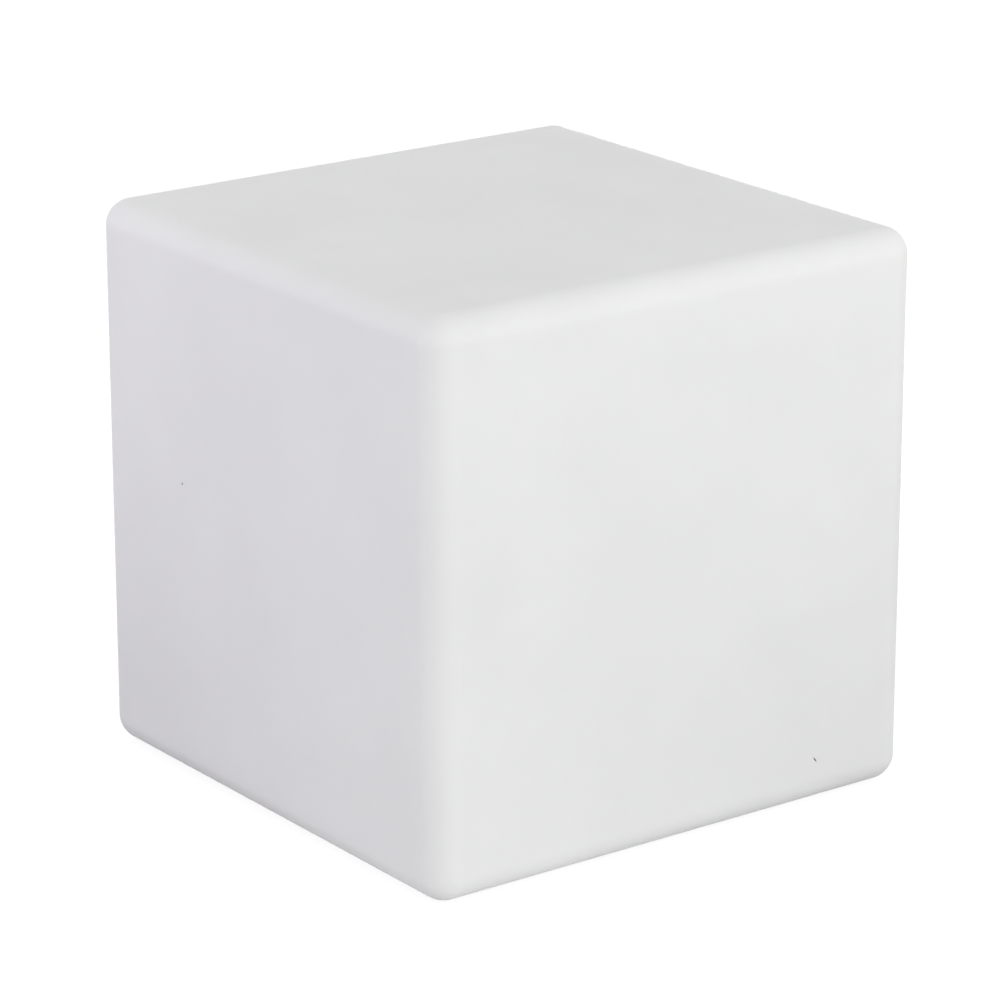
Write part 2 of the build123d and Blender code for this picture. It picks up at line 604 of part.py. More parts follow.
# ---- power button ------------------------------------------------------------------------
def power_button():
    """Crowned cap on a stem that slides in the cover's guide."""
    face = CAP_BACK - BUTTON_CAP_HEIGHT
    groove_middle = PLATE_BOTTOM + O_RING_ABOVE_FACE
    groove = (groove_middle - O_RING_GROOVE_WIDTH / 2, groove_middle + O_RING_GROOVE_WIDTH / 2)
    groove_radius = STEM_RADIUS + STEM_GAP - 2 * O_RING_SECTION - 2 * O_RING_BORE_GAP
    clip_top = CLIP_BOTTOM + CLIP_THICKNESS
    rim = face + BUTTON_CROWN
    bulge = TangentArc((0, face), (BUTTON_CAP_RADIUS, rim), tangent=(1, 0))
    crown = bulge + Polyline((BUTTON_CAP_RADIUS, rim), (0, rim), (0, face))
    cap = turned([
        (0, rim, 0),
        (BUTTON_CAP_RADIUS, rim, 0),
        (BUTTON_CAP_RADIUS, CAP_BACK, COVER_EDGE_ROUND),
        (STEM_RADIUS, CAP_BACK, 0),
        (STEM_RADIUS, groove[0], 0),
        (groove_radius, groove[0], 0),
        (groove_radius, groove[1], 0),
        (STEM_RADIUS, groove[1], 0),
        (STEM_RADIUS, CLIP_BOTTOM, 0),
        (CLIP_GROOVE_RADIUS, CLIP_BOTTOM, 0),
        (CLIP_GROOVE_RADIUS, clip_top, 0),
        (STEM_RADIUS, clip_top, 0),
        (STEM_RADIUS, STEM_TOP, COVER_EDGE_ROUND),
        (0, STEM_TOP, 0),
    ])
    return Pos(BUTTON_X, 0, 0) * (cap + revolve(Plane.XZ * make_face(crown), Axis.Z))


def button_o_ring():
    """Rubber ring in the stem's groove."""
    middle = STEM_RADIUS + STEM_GAP - O_RING_BORE_GAP - O_RING_SECTION
    return Pos(BUTTON_X, 0, PLATE_BOTTOM + O_RING_ABOVE_FACE) * Torus(middle, O_RING_SECTION)


def button_clip():
    """Open steel clip in the stem's upper groove; it stops the button from falling out."""
    clip = ring(CLIP_RADIUS, CLIP_GROOVE_RADIUS, 0, CLIP_THICKNESS)
    clip -= block((0, CLIP_RADIUS), (-CLIP_MOUTH / 2, CLIP_MOUTH / 2), (0, CLIP_THICKNESS))
    return Pos(BUTTON_X, 0, CLIP_BOTTOM) * clip


def switch_plunger():
    """The switch's own plunger, pushed by the stem."""
    return post(BUTTON_X, 0, PLUNGER_RADIUS, STEM_TOP, PLUNGER_TOP)


# ---- control board and what it carries ---------------------------------------------------
def tact_switch():
    """Square push switch under the board."""
    half = SWITCH_SIDE / 2
    body = block((-half, half), (-half, half), (SWITCH_BOTTOM, BOARD_HEIGHT))
    body = chamfer(body.edges().filter_by(Axis.Z), SWITCH_EDGE)
    bore_top = PLUNGER_TOP + BUTTON_TRAVEL + PLUNGER_BORE_SPARE
    body -= post(0, 0, PLUNGER_RADIUS + PLUNGER_GAP, SWITCH_BOTTOM, bore_top)
    return Pos(BUTTON_X, 0, 0) * body


def charge_jack():
    """Upright socket: a round mouth on a square body."""
    low = JACK_BOTTOM + JACK_BARREL_LENGTH
    half_x = JACK_WIDTH / 2
    body = block((-half_x, half_x), (-JACK_LENGTH / 2, JACK_LENGTH / 2), (low, BOARD_HEIGHT))
    body = fillet(body.edges().filter_by(Axis.Z), JACK_EDGE)
    body += post(0, 0, JACK_BARREL_RADIUS, JACK_BOTTOM, BOARD_HEIGHT)
    body -= post(0, 0, JACK_BORE_RADIUS, JACK_BOTTOM, JACK_BOTTOM + JACK_BORE_DEPTH)
    return Pos(JACK_X, 0, 0) * body


def jack_pin():
    """The socket's centre contact."""
    low = JACK_BOTTOM + JACK_PIN_RECESS
    high = JACK_BOTTOM + JACK_BORE_DEPTH
    return Pos(JACK_X, 0, 0) * turned([
        (0, low, 0),
        (JACK_PIN_RADIUS, low, JACK_PIN_RADIUS / 2),
        (JACK_PIN_RADIUS, high, 0),
        (0, high, 0),
    ])


def control_board():
    """Round circuit board on the cover's standoffs."""
    board = post(0, 0, BOARD_RADIUS, BOARD_HEIGHT, BOARD_TOP)
    for x, y in STANDOFF_PLACES:
        board -= post(x, y, hole_for(BOARD_SCREW), BOARD_HEIGHT, BOARD_TOP)
    return board


def board_components():
    """Chips, coil and capacitor on the board's upper face."""
    pieces = []
    for x, y, length, width, height in CHIPS:
        chip = Box(length, width, height, align=ON_BASE)
        chip = chamfer(chip.edges().group_by(Axis.Z)[-1], CHIP_EDGE)
        pieces.append(Pos(x, y, BOARD_TOP) * chip)
    coil = Box(COIL_SIDE, COIL_SIDE, COIL_HEIGHT, align=ON_BASE)
    coil = chamfer(coil.edges().filter_by(Axis.Z), COIL_SIDE / 5)
    pieces.append(Pos(*COIL_PLACE, BOARD_TOP) * coil)
    can = turned([
        (0, 0, 0),
        (CAPACITOR_RADIUS, 0, 0),
        (CAPACITOR_RADIUS, CAPACITOR_HEIGHT, CHIP_EDGE),
        (0, CAPACITOR_HEIGHT, 0),
    ])
    pieces.append(Pos(*CAPACITOR_PLACE, BOARD_TOP) * can)
    return group(pieces)


def board_screws():
    """Screws from above through the board into the cover's standoffs."""
    return group([screw(BOARD_SCREW, x, y, BOARD_TOP, 1) for x, y in STANDOFF_PLACES])


def wire_rows(count, middle):
    """Places of wires side by side."""
    first = middle - WIRE_PITCH * (count - 1) / 2
    return [first + WIRE_PITCH * step for step in range(count)]


def ribbon_outline(radius):
    """Section of a flat lead: as wide as its cores side by side, with round edges."""
    return SlotCenterToCenter(WIRE_PITCH * (LED_WIRE_COUNT - 1), 2 * radius)


def plug_housing(wires, side):
    """Lead's plug housing on the board; side is 1 where the wires leave towards +X."""
    width = WIRE_PITCH * (wires - 1) + 2 * CONNECTOR_MARGIN
    body = Box(CONNECTOR_LENGTH, width, CONNECTOR_HEIGHT, align=ON_BASE)
    body = chamfer(body.edges().filter_by(Axis.Z), CONNECTOR_EDGE)
    mouth = side * (CONNECTOR_LENGTH / 2 - CONNECTOR_MOUTH)
    return body, Plane((mouth, 0, CONNECTOR_HEIGHT / 2), x_dir=(0, 1, 0), z_dir=(side, 0, 0))


def lead_connectors():
    """Plug housings of the battery leads and of the LED lead."""
    battery, mouth = plug_housing(len(CELL_ROWS), 1)
    for row in wire_rows(len(CELL_ROWS), 0):
        hole = Pos(row, 0) * Circle(WIRE_RADIUS + WIRE_GAP)
        battery -= extrude(mouth * hole, CONNECTOR_LENGTH)
    ribbon, mouth = plug_housing(LED_WIRE_COUNT, -1)
    ribbon -= extrude(mouth * ribbon_outline(WIRE_RADIUS + WIRE_GAP), CONNECTOR_LENGTH)
    return group([
        Pos(BATTERY_PLUG_X, 0, BOARD_TOP) * battery,
        Pos(LED_PLUG_X, LED_PLUG_Y, BOARD_TOP) * ribbon,
    ])


# ---- charging hole's plug ----------------------------------------------------------------
def port_plug():
    """Rubber plug with a finger tab, on a strap that bends at the hinge line."""
    low = PLUG_MIDDLE - PLUG_THICKNESS / 2
    high = PLUG_MIDDLE + PLUG_THICKNESS / 2
    half = PLUG_THICKNESS / 2
    disc = post(JACK_X, 0, PLUG_DISC_RADIUS, low, high)
    strap = block((PLUG_HINGE_X, JACK_X), (-PLUG_STRAP_WIDTH / 2, PLUG_STRAP_WIDTH / 2), (low, high))
    knuckle = Pos(PLUG_HINGE_X, 0, PLUG_MIDDLE) * Rot(90, 0, 0) * Cylinder(half, PLUG_STRAP_WIDTH)
    tab_end = JACK_X + PLUG_DISC_RADIUS + PLUG_TAB_REACH
    tab = block((JACK_X, tab_end), (-PLUG_TAB_WIDTH / 2, PLUG_TAB_WIDTH / 2), (low, high))
    tab = fillet(tab.edges().filter_by(Axis.Z), PLUG_TAB_WIDTH / 3)
    flap = disc + strap + tab
    flap = fillet(flap.faces().sort_by(Axis.Z)[0].edges(), PLUG_EDGE_ROUND)
    spigot_radius = PORT_HOLE_RADIUS - PLUG_SPIGOT_GAP
    spigot = Pos(JACK_X, 0, 0) * turned([
        (0, PLUG_MIDDLE, 0),
        (spigot_radius, PLUG_MIDDLE, 0),
        (spigot_radius, high, 0),
        (spigot_radius - PLUG_SPIGOT_TAPER, high + PLUG_SPIGOT_LENGTH, PLUG_EDGE_ROUND),
        (0, high + PLUG_SPIGOT_LENGTH, 0),
    ])
    return flap + knuckle + spigot


def plug_anchor():
    """Fixed end of the strap, with a headed stem pulled through the cover."""
    low = PLUG_MIDDLE - PLUG_THICKNESS / 2
    knuckle_radius = PLUG_THICKNESS / 2 + ANCHOR_GAP
    near = PLUG_HINGE_X - PLUG_THICKNESS / 2
    far = near - ANCHOR_GAP - ANCHOR_LENGTH
    half = PLUG_STRAP_WIDTH / 2
    pad = block((far, near), (-half, half), (low, PLATE_BOTTOM))
    pad = fillet(pad.edges().filter_by(Axis.Z).sort_by(Axis.X)[:2], half - PLUG_EDGE_ROUND)
    knuckle_room = Rot(90, 0, 0) * Cylinder(knuckle_radius, 2 * PLUG_STRAP_WIDTH)
    pad -= Pos(PLUG_HINGE_X, 0, PLUG_MIDDLE) * knuckle_room
    pad -= block((PLUG_HINGE_X - knuckle_radius, near), (-half, half), (0, PLUG_MIDDLE))
    stem_x = near - ANCHOR_GAP - ANCHOR_LENGTH / 2
    stem = Pos(stem_x, 0, 0) * turned([
        (0, PLUG_MIDDLE, 0),
        (ANCHOR_STEM_RADIUS, PLUG_MIDDLE, 0),
        (ANCHOR_STEM_RADIUS, COVER_TOP, 0),
        (ANCHOR_HEAD_RADIUS, COVER_TOP, 0),
        (ANCHOR_STEM_RADIUS, COVER_TOP + ANCHOR_HEAD_HEIGHT, 0),
        (0, COVER_TOP + ANCHOR_HEAD_HEIGHT, 0),
    ])
    return pad + stem


# ---- battery -----------------------------------------------------------------------------
def lying_cylinder(y, radius, half_length, bevel=0.0):
    """Cylinder along X at the cells' height."""
    body = Cylinder(radius, 2 * half_length)
    if bevel:
        body = chamfer(body.edges().filter_by(GeomType.CIRCLE), bevel)
    return Pos(0, y, CELL_HEIGHT) * Rot(0, 90, 0) * body


def battery_cells():
    """Two sleeved lithium-ion cells, side by side."""
    return group([lying_cylinder(y, CELL_RADIUS, CELL_LENGTH / 2, CELL_END_BEVEL) for y in CELL_ROWS])


def battery_tabs():
    """Nickel strips: one joins both cells, and two end in the leads."""
    low = CELL_HEIGHT - TAB_WIDTH / 2
    high = CELL_HEIGHT + TAB_WIDTH / 2
    end = CELL_LENGTH / 2
    across = (CELL_ROWS[0] - TAB_WIDTH / 2, CELL_ROWS[1] + TAB_WIDTH / 2)
    strips = [block((-end - TAB_THICKNESS, -end), across, (low, high))]
    for y in CELL_ROWS:
        strip = (y - TAB_WIDTH / 2, y + TAB_WIDTH / 2)
        strips.append(block((end, end + TAB_THICKNESS), strip, (low, high)))
    return group(strips)


def battery_tray():
    """Moulded cradle with a trough for each cell."""
    side = (-TRAY_SIDE, TRAY_SIDE)
    end_wall = (TRAY_HEIGHT, TRAY_HEIGHT + TRAY_END_HEIGHT)
    base = (TRAY_HEIGHT, TRAY_FLOOR_TOP)
    foot_end = CLAMP_SCREW_Y + CLAMP_FOOT_LENGTH / 2
    parts = [
        block((-TRAY_END, TRAY_END), side, (TRAY_HEIGHT, TRAY_HEIGHT + TRAY_WALL_HEIGHT)),
        block((TRAY_END, TRAY_END + TRAY_WALL), side, end_wall),
        block((-TRAY_END - TRAY_WALL, -TRAY_END), side, end_wall),
        block((-CLAMP_WIDTH / 2, CLAMP_WIDTH / 2), (-foot_end, foot_end), base),
    ]
    for x, y in TRAY_PLACES:
        across = (x - TRAY_LUG_RADIUS, x + TRAY_LUG_RADIUS)
        parts += [post(x, y, TRAY_LUG_RADIUS, *base), block(across, sorted((0, y)), base)]
    tray = fused(parts)
    for y in CELL_ROWS:
        tray -= lying_cylinder(y, CELL_RADIUS + TRAY_CELL_GAP, TRAY_END)
        notch = (y - WIRE_PITCH, y + WIRE_PITCH)
        tray -= block((CELL_LENGTH / 2, TRAY_END), notch, end_wall)
    for x, y in TRAY_PLACES:
        tray -= post(x, y, hole_for(TRAY_SCREW), *base)
    for y in (-CLAMP_SCREW_Y, CLAMP_SCREW_Y):
        tray -= post(0, y, PILOT_RADIUS, *base)
    return tray


def tray_screws():
    """Screws from above through the tray's lugs into the pillars."""
    return group([screw(TRAY_SCREW, x, y, TRAY_FLOOR_TOP, 1) for x, y in TRAY_PLACES])


def battery_clamp():
    """Bent steel strap over both cells, with a foot on each side."""
    foot = TRAY_FLOOR_TOP
    inside_top = CLAMP_TOP - CLAMP_THICKNESS
    outer = CLAMP_SIDE + CLAMP_THICKNESS
    foot_end = outer + CLAMP_FOOT_LENGTH
    outer_half = [
        (foot_end, foot, 0),
        (foot_end, foot + CLAMP_THICKNESS, 0),
        (outer, foot + CLAMP_THICKNESS, CLAMP_BEND),
        (outer, CLAMP_TOP, CELL_RADIUS + CLAMP_THICKNESS),
    ]
    inner_half = [
        (CLAMP_SIDE, foot, CLAMP_BEND + CLAMP_THICKNESS),
        (CLAMP_SIDE, inside_top, CELL_RADIUS),
    ]
    left_inner = [(-y, z, corner) for y, z, corner in inner_half]
    outline = outer_half + mirrored(outer_half) + left_inner + inner_half[::-1]
    strap = extrude(Plane.YZ * rounded_outline(outline), CLAMP_WIDTH / 2, both=True)
    for y in (-CLAMP_SCREW_Y, CLAMP_SCREW_Y):
        strap -= post(0, y, hole_for(CLAMP_SCREW), foot, foot + CLAMP_THICKNESS)
    return strap


def clamp_screws():
    """Screws from above through the clamp's feet into the tray."""
    seat = TRAY_FLOOR_TOP + CLAMP_THICKNESS
    return group([screw(CLAMP_SCREW, 0, y, seat, 1) for y in (-CLAMP_SCREW_Y, CLAMP_SCREW_Y)])


# ---- leads -------------------------------------------------------------------------------
def lead(route, outline):
    """Lead of one outline along straight runs with rounded corners."""
    path = FilletPolyline(*route, radius=WIRE_BEND)
    return sweep(Plane(path @ 0, x_dir=(0, 1, 0), z_dir=path % 0) * outline, path=path)


def battery_leads():
    """Two wires from the cells' tabs down to their plug housing."""
    drop_x = CELL_LENGTH / 2 + TAB_THICKNESS + WIRE_RADIUS
    mouth = BATTERY_PLUG_X + CONNECTOR_LENGTH / 2 - CONNECTOR_MOUTH
    wires = []
    for y, row in zip(CELL_ROWS, wire_rows(len(CELL_ROWS), 0)):
        route = [
            (drop_x, y, CELL_HEIGHT),
            (drop_x, y, WIRE_HEIGHT),
            (mouth + 2 * WIRE_BEND, row, WIRE_HEIGHT),
            (mouth, row, WIRE_HEIGHT),
        ]
        wires.append(lead(route, Circle(WIRE_RADIUS)))
    return group(wires)


def led_lead():
    """Flat four-core lead from its plug housing up the side to the LED board."""
    mouth = LED_PLUG_X - CONNECTOR_LENGTH / 2 + CONNECTOR_MOUTH
    over = LED_BOARD_TOP + WIRE_RADIUS
    route = [
        (mouth, LED_PLUG_Y, WIRE_HEIGHT),
        (LED_WIRE_X, LED_PLUG_Y, WIRE_HEIGHT),
        (LED_WIRE_X, LED_PLUG_Y, over),
        (LED_WIRE_X + LED_WIRE_REACH, LED_PLUG_Y, over),
    ]
    return lead(route, ribbon_outline(WIRE_RADIUS))


# ---- LED board and dome ------------------------------------------------------------------
def led_board():
    """Round aluminium-core board on the cup's pillars."""
    board = post(0, 0, LED_BOARD_RADIUS, LED_BOARD_HEIGHT, LED_BOARD_TOP)
    for x, y in LED_PILLAR_PLACES:
        board -= post(x, y, hole_for(BOARD_SCREW), LED_BOARD_HEIGHT, LED_BOARD_TOP)
    half_width = WIRE_PITCH * LED_WIRE_COUNT / 2
    slot_y = (LED_PLUG_Y - half_width, LED_PLUG_Y + half_width)
    slot_x = (LED_WIRE_X - 2 * WIRE_RADIUS, LED_WIRE_X + WIRE_BEND + WIRE_RADIUS)
    board -= block(slot_x, slot_y, (LED_BOARD_HEIGHT, LED_BOARD_TOP))
    return board


def leds():
    """Square light-emitting diodes with a round well each."""
    chips = []
    for x, y in LED_PLACES:
        chip = Pos(x, y, LED_BOARD_TOP) * Box(LED_SIDE, LED_SIDE, LED_HEIGHT, align=ON_BASE)
        top = LED_BOARD_TOP + LED_HEIGHT
        chips.append(chip - post(x, y, LED_WELL_RADIUS, top - LED_WELL_DEPTH, top))
    return group(chips)


def ir_receiver():
    """Remote control receiver on three legs, in the middle of the LED board."""
    low = LED_BOARD_TOP + RECEIVER_LIFT
    high = low + RECEIVER_HEIGHT
    half = RECEIVER_DEPTH / 2
    body = block((-half, half), (-RECEIVER_RADIUS, RECEIVER_RADIUS), (low, high))
    lens = Pos(half, 0, high - RECEIVER_RADIUS) * Sphere(RECEIVER_RADIUS)
    body += lens & block((half, half + RECEIVER_RADIUS), (-RECEIVER_RADIUS, RECEIVER_RADIUS), (low, high))
    for row in (-RECEIVER_LEG_PITCH, 0, RECEIVER_LEG_PITCH):
        leg = (row - RECEIVER_LEG / 2, row + RECEIVER_LEG / 2)
        body += block((-RECEIVER_LEG / 2, RECEIVER_LEG / 2), leg, (LED_BOARD_TOP, low))
    return body


def led_board_screws():
    """Screws from above through the LED board into the pillars."""
    return group([screw(BOARD_SCREW, x, y, LED_BOARD_TOP, 1) for x, y in LED_PILLAR_PLACES])


def dome_seal():
    """Ring on the cup's shoulder, under the dome's lower edge."""
    return ring(CUP_RADIUS, DOME_INSIDE, REBATE_FLOOR, DOME_BOTTOM)


def half_ellipsoid(radius, rise):
    """Low dome on the skirt's top edge."""
    arc = EllipticalCenterArc((0, DOME_SKIRT_TOP), radius, rise, start_angle=0, arc_size=QUARTER_TURN)
    sides = Polyline((0, DOME_SKIRT_TOP + rise), (0, DOME_SKIRT_TOP), (radius, DOME_SKIRT_TOP))
    return revolve(Plane.XZ * make_face(arc + sides), Axis.Z)


def diffuser_dome():
    """Frosted dome whose skirt locks on the cup's lugs with L-shaped slots."""
    dome = ring(DOME_OUTSIDE, DOME_INSIDE, DOME_BOTTOM, DOME_SKIRT_TOP)
    dome += half_ellipsoid(DOME_OUTSIDE, DOME_RISE) - half_ellipsoid(DOME_INSIDE, DOME_RISE - DOME_WALL)
    way_in = LUG_ANGLE + 2 * SLOT_GAP
    low = LUG_BOTTOM - SLOT_GAP
    high = LUG_BOTTOM + LUG_HEIGHT + SLOT_GAP
    reach = DOME_OUTSIDE + 1
    for turn in LUG_TURNS:
        dome -= lug(reach, turn + LUG_ANGLE + SLOT_TURN, way_in, DOME_BOTTOM, high)
        dome -= lug(reach, turn + (LUG_ANGLE + SLOT_TURN) / 2, way_in + LUG_ANGLE + SLOT_TURN, low, high)
    return dome


PARTS = {
    "shell": shell,
    "threaded_inserts": threaded_inserts,
    "seal_ring": seal_ring,
    "lamp_housing": lamp_housing,
    "flange_screws": flange_screws,
    "bottom_cover": bottom_cover,
    "cover_seal": cover_seal,
    "cover_screws": cover_screws,
    "power_button": power_button,
    "button_o_ring": button_o_ring,
    "button_clip": button_clip,
    "switch_plunger": switch_plunger,
    "tact_switch": tact_switch,
    "charge_jack": charge_jack,
    "jack_pin": jack_pin,
    "port_plug": port_plug,
    "plug_anchor": plug_anchor,
    "control_board": control_board,
    "board_components": board_components,
    "board_screws": board_screws,
    "lead_connectors": lead_connectors,
    "battery_cells": battery_cells,
    "battery_tabs": battery_tabs,
    "battery_tray": battery_tray,
    "tray_screws": tray_screws,
    "battery_clamp": battery_clamp,
    "clamp_screws": clamp_screws,
    "battery_leads": battery_leads,
    "led_lead": led_lead,
    "led_board": led_board,
    "leds": leds,
    "ir_receiver": ir_receiver,
    "led_board_screws": led_board_screws,
    "dome_seal": dome_seal,
    "diffuser_dome": diffuser_dome,
}

os.makedirs("parts", exist_ok=True)
for name, make in PARTS.items():
    export_step(make(), f"parts/{name}.step")
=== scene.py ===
# %% [markdown]
# # A rechargeable light cube, dressed in Blender
#
# The object is a 40 cm cube, moulded hollow from white polyethylene, with a round lamp unit
# screwed into its base. Its pieces come from CAD at their real size and place. This script
# models the cube's skin again as a finer mesh, gives every piece a finish, adds the small
# details that CAD leaves out, and sets up a plain studio. All lengths are in metres.

# %% Load the CAD frame
import math

import bmesh
import bpy
from mathutils import Matrix, Vector

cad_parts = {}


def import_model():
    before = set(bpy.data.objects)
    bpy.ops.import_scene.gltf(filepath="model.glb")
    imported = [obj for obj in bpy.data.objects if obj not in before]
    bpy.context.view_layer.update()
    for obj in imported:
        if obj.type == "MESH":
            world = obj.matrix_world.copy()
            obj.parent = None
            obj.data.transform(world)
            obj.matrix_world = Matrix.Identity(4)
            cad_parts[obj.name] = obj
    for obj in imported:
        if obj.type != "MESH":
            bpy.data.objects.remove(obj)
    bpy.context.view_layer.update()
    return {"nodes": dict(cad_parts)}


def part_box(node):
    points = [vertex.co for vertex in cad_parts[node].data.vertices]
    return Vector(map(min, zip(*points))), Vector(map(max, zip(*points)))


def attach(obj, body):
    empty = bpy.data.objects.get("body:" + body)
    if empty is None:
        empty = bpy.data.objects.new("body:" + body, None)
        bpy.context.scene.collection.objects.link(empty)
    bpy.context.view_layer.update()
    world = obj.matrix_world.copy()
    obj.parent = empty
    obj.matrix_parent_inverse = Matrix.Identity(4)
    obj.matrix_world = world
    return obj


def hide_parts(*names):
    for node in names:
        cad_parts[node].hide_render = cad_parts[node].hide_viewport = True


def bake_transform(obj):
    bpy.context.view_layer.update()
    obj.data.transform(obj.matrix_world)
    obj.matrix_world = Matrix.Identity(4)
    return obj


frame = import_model()
MM = 0.001

# %% [markdown]
# ## The moulded skin
#
# The real skin is made by rolling powder round in a hot mould, so it is one closed hollow
# piece with soft edges, an even wall and faces that sink by a fraction of a millimetre as
# they cool. CAD's mesh has the right shape, but only a few facets on each rounded edge.
# Three ways would make it finer: subdividing that mesh, bevelling a cube, or joining rings
# of points. Rings are chosen here. Each ring is a circle or a rounded square at one height,
# all have the same number of points, and the skin is the strip of quads between each ring
# and the next, from the lamp's hole under the cube, round the outside and over the top.

# %% Size of the cube
low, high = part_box("shell")
HALF = (high.x - low.x) / 2
TOP = high.z
EDGE_RADIUS = 19 * MM
FLAT = HALF - EDGE_RADIUS        # half width of the flat part of a face
WALL = 3.2 * MM
print("cube", round(2 * HALF, 4), "wide,", round(TOP, 4), "high, flat for", round(2 * FLAT, 4))

# %% Rings of points
SIDE_STEPS = 24                  # quads along one side of a ring
CORNER_STEPS = 10                # quads round one corner of a ring
EVEN_CORNER = 0.4                # with it, the points of a unit square look out evenly


def turned(degrees):
    """Rotation about the cube's upright axis."""
    return Matrix.Rotation(math.radians(degrees), 3, "Z")


def square_ring(half, corner, height):
    """Points round a rounded square: along one side, round its corner, and so on."""
    straight = half - corner
    points = []
    for quarter in range(4):
        to_side = turned(90 * quarter)
        for step in range(SIDE_STEPS):
            along = straight * (2 * step / SIDE_STEPS - 1)
            points.append(to_side @ Vector((half, along, height)))
        for step in range(CORNER_STEPS):
            angle = math.radians(90 * step / CORNER_STEPS)
            x = straight + corner * math.cos(angle)
            y = straight + corner * math.sin(angle)
            points.append(to_side @ Vector((x, y, height)))
    return points


def round_ring(radius, height):
    """The same number of points on a circle, in the directions of a rounded square's."""
    directions = [Vector((p.x, p.y, 0)).normalized() for p in square_ring(1, EVEN_CORNER, 0)]
    return [way * radius + Vector((0, 0, height)) for way in directions]


def between(first, last, steps):
    """Rings that lead from one ring to another, without the two ends."""
    shares = [step / steps for step in range(1, steps)]
    return [[a.lerp(b, share) for a, b in zip(first, last)] for share in shares]


def quarter_arc(steps):
    """Pairs of sine and cosine round a quarter turn."""
    angles = [math.radians(90 * step / steps) for step in range(steps + 1)]
    return [(math.sin(angle), math.cos(angle)) for angle in angles]


print("points in one ring:", len(square_ring(HALF, EDGE_RADIUS, 0)))

# %% [markdown]
# The rings start at the lamp's hole: the ledge that the lamp unit is screwed to, the wall of
# its seat, and the soft lip at the seat's mouth. Each function takes the distance that its
# rings lie inside the skin, so it serves the outside and the inside, one wall further in.

# %% Rings of the lamp's seat
LEDGE_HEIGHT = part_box("seal_ring")[1].z
HOLE_RADIUS = 49 * MM
SEAT_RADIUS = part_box("lamp_housing")[1].x + 2 * MM
SEAT_CORNER = 2.5 * MM
SEAT_FLARE = 0.76 * MM           # the seat's wall opens downwards, so that it leaves the mould
SEAT_LIP = 3 * MM
DISH_HEIGHT = 2 * MM
LEDGE_STEPS = 7                  # quads across the ledge
BEND_STEPS = 5                   # quads round a small bend


def seat_rings(wall):
    """Ledge, corner, wall and lip of the lamp's seat, at a distance of wall inside the skin."""
    ledge = LEDGE_HEIGHT + wall
    corner = SEAT_CORNER + wall
    bend = SEAT_RADIUS + wall - corner
    rings = [round_ring(HOLE_RADIUS, ledge)]
    rings += between(rings[0], round_ring(bend, ledge), LEDGE_STEPS)
    for sine, cosine in quarter_arc(BEND_STEPS):
        rings.append(round_ring(bend + corner * sine, ledge - corner + corner * cosine))
    lip = SEAT_LIP if wall == 0 else SEAT_LIP / 2
    mouth = SEAT_RADIUS + wall + SEAT_FLARE
    dish = DISH_HEIGHT + wall
    for sine, cosine in quarter_arc(BEND_STEPS):
        rings.append(round_ring(mouth + lip - lip * cosine, dish + lip - lip * sine))
    return rings


print("rings of the seat:", len(seat_rings(0)), "hole", HOLE_RADIUS, "seat", round(SEAT_RADIUS, 4))

# %% [markdown]
# Next come the shallow dish, which keeps the middle of the base off the ground, the flat rim
# that the cube stands on, the lower edges, the side faces, the upper edges and the top face.
# The skin is closed, so it has its true thickness everywhere.

# %% Rings of the base and the box
RIM_WIDTH = 42 * MM
DISH_HALF = HALF - RIM_WIDTH
DISH_STEP = 2.86 * MM            # width of the slope from the rim into the dish
DISH_CORNER = 36 * MM
DISH_STEPS, SLOPE_STEPS, RIM_STEPS = 4, 2, 3
TOP_STEPS = SIDE_STEPS // 2      # quads from the edge of the top to its middle


def base_rings(wall):
    """The dish and the flat rim round it."""
    step_in = square_ring(DISH_HALF - DISH_STEP + wall / 2, DISH_CORNER - DISH_STEP, DISH_HEIGHT + wall)
    step_out = square_ring(DISH_HALF + wall / 2, DISH_CORNER, wall)
    edge = square_ring(FLAT, 0, wall)
    rings = between(seat_rings(wall)[-1], step_in, DISH_STEPS) + [step_in]
    rings += between(step_in, step_out, SLOPE_STEPS) + [step_out]
    return rings + between(step_out, edge, RIM_STEPS)


def box_rings(wall):
    """Lower edges, side faces, upper edges and top face of the cube."""
    radius = EDGE_RADIUS - wall
    edge_top = TOP - EDGE_RADIUS
    rings = []
    for sine, cosine in quarter_arc(CORNER_STEPS):
        rings.append(square_ring(FLAT + radius * sine, radius * sine, EDGE_RADIUS - radius * cosine))
    rings += between(rings[-1], square_ring(FLAT + radius, radius, edge_top), SIDE_STEPS)
    for sine, cosine in quarter_arc(CORNER_STEPS):
        rings.append(square_ring(FLAT + radius * cosine, radius * cosine, edge_top + radius * sine))
    middle = square_ring(0, 0, TOP - wall)
    return rings + between(rings[-1], middle, TOP_STEPS) + [middle]


print("rings of the base and the box:", len(base_rings(0)), len(box_rings(0)))

# %% [markdown]
# Two soft changes make the skin less like a drawing. The middle of each side face draws in
# by half a millimetre, as thick walls do when they cool. And over each threaded insert the
# inner skin rises in a round bump, because the powder builds up there.

# %% Sunk faces
FACE_SINK = 0.5 * MM             # how far the middle of each side face has drawn in


def sink_at(across, up):
    """Sink at a place on a side face: full in its middle, none at its edges."""
    a = min(abs(across) / FLAT, 1)
    b = min(abs(up - TOP / 2) / (TOP / 2 - EDGE_RADIUS), 1)
    return FACE_SINK * ((1 - a * a) ** 2 * (1 - b ** 4))


def sunk(point):
    """A point of a side face, drawn in towards the cube's middle."""
    moved = point.copy()
    if abs(point.x) > FLAT + EDGE_RADIUS / 2:
        moved.x -= math.copysign(sink_at(point.y, point.z), point.x)
    if abs(point.y) > FLAT + EDGE_RADIUS / 2:
        moved.y -= math.copysign(sink_at(point.x, point.z), point.y)
    return moved


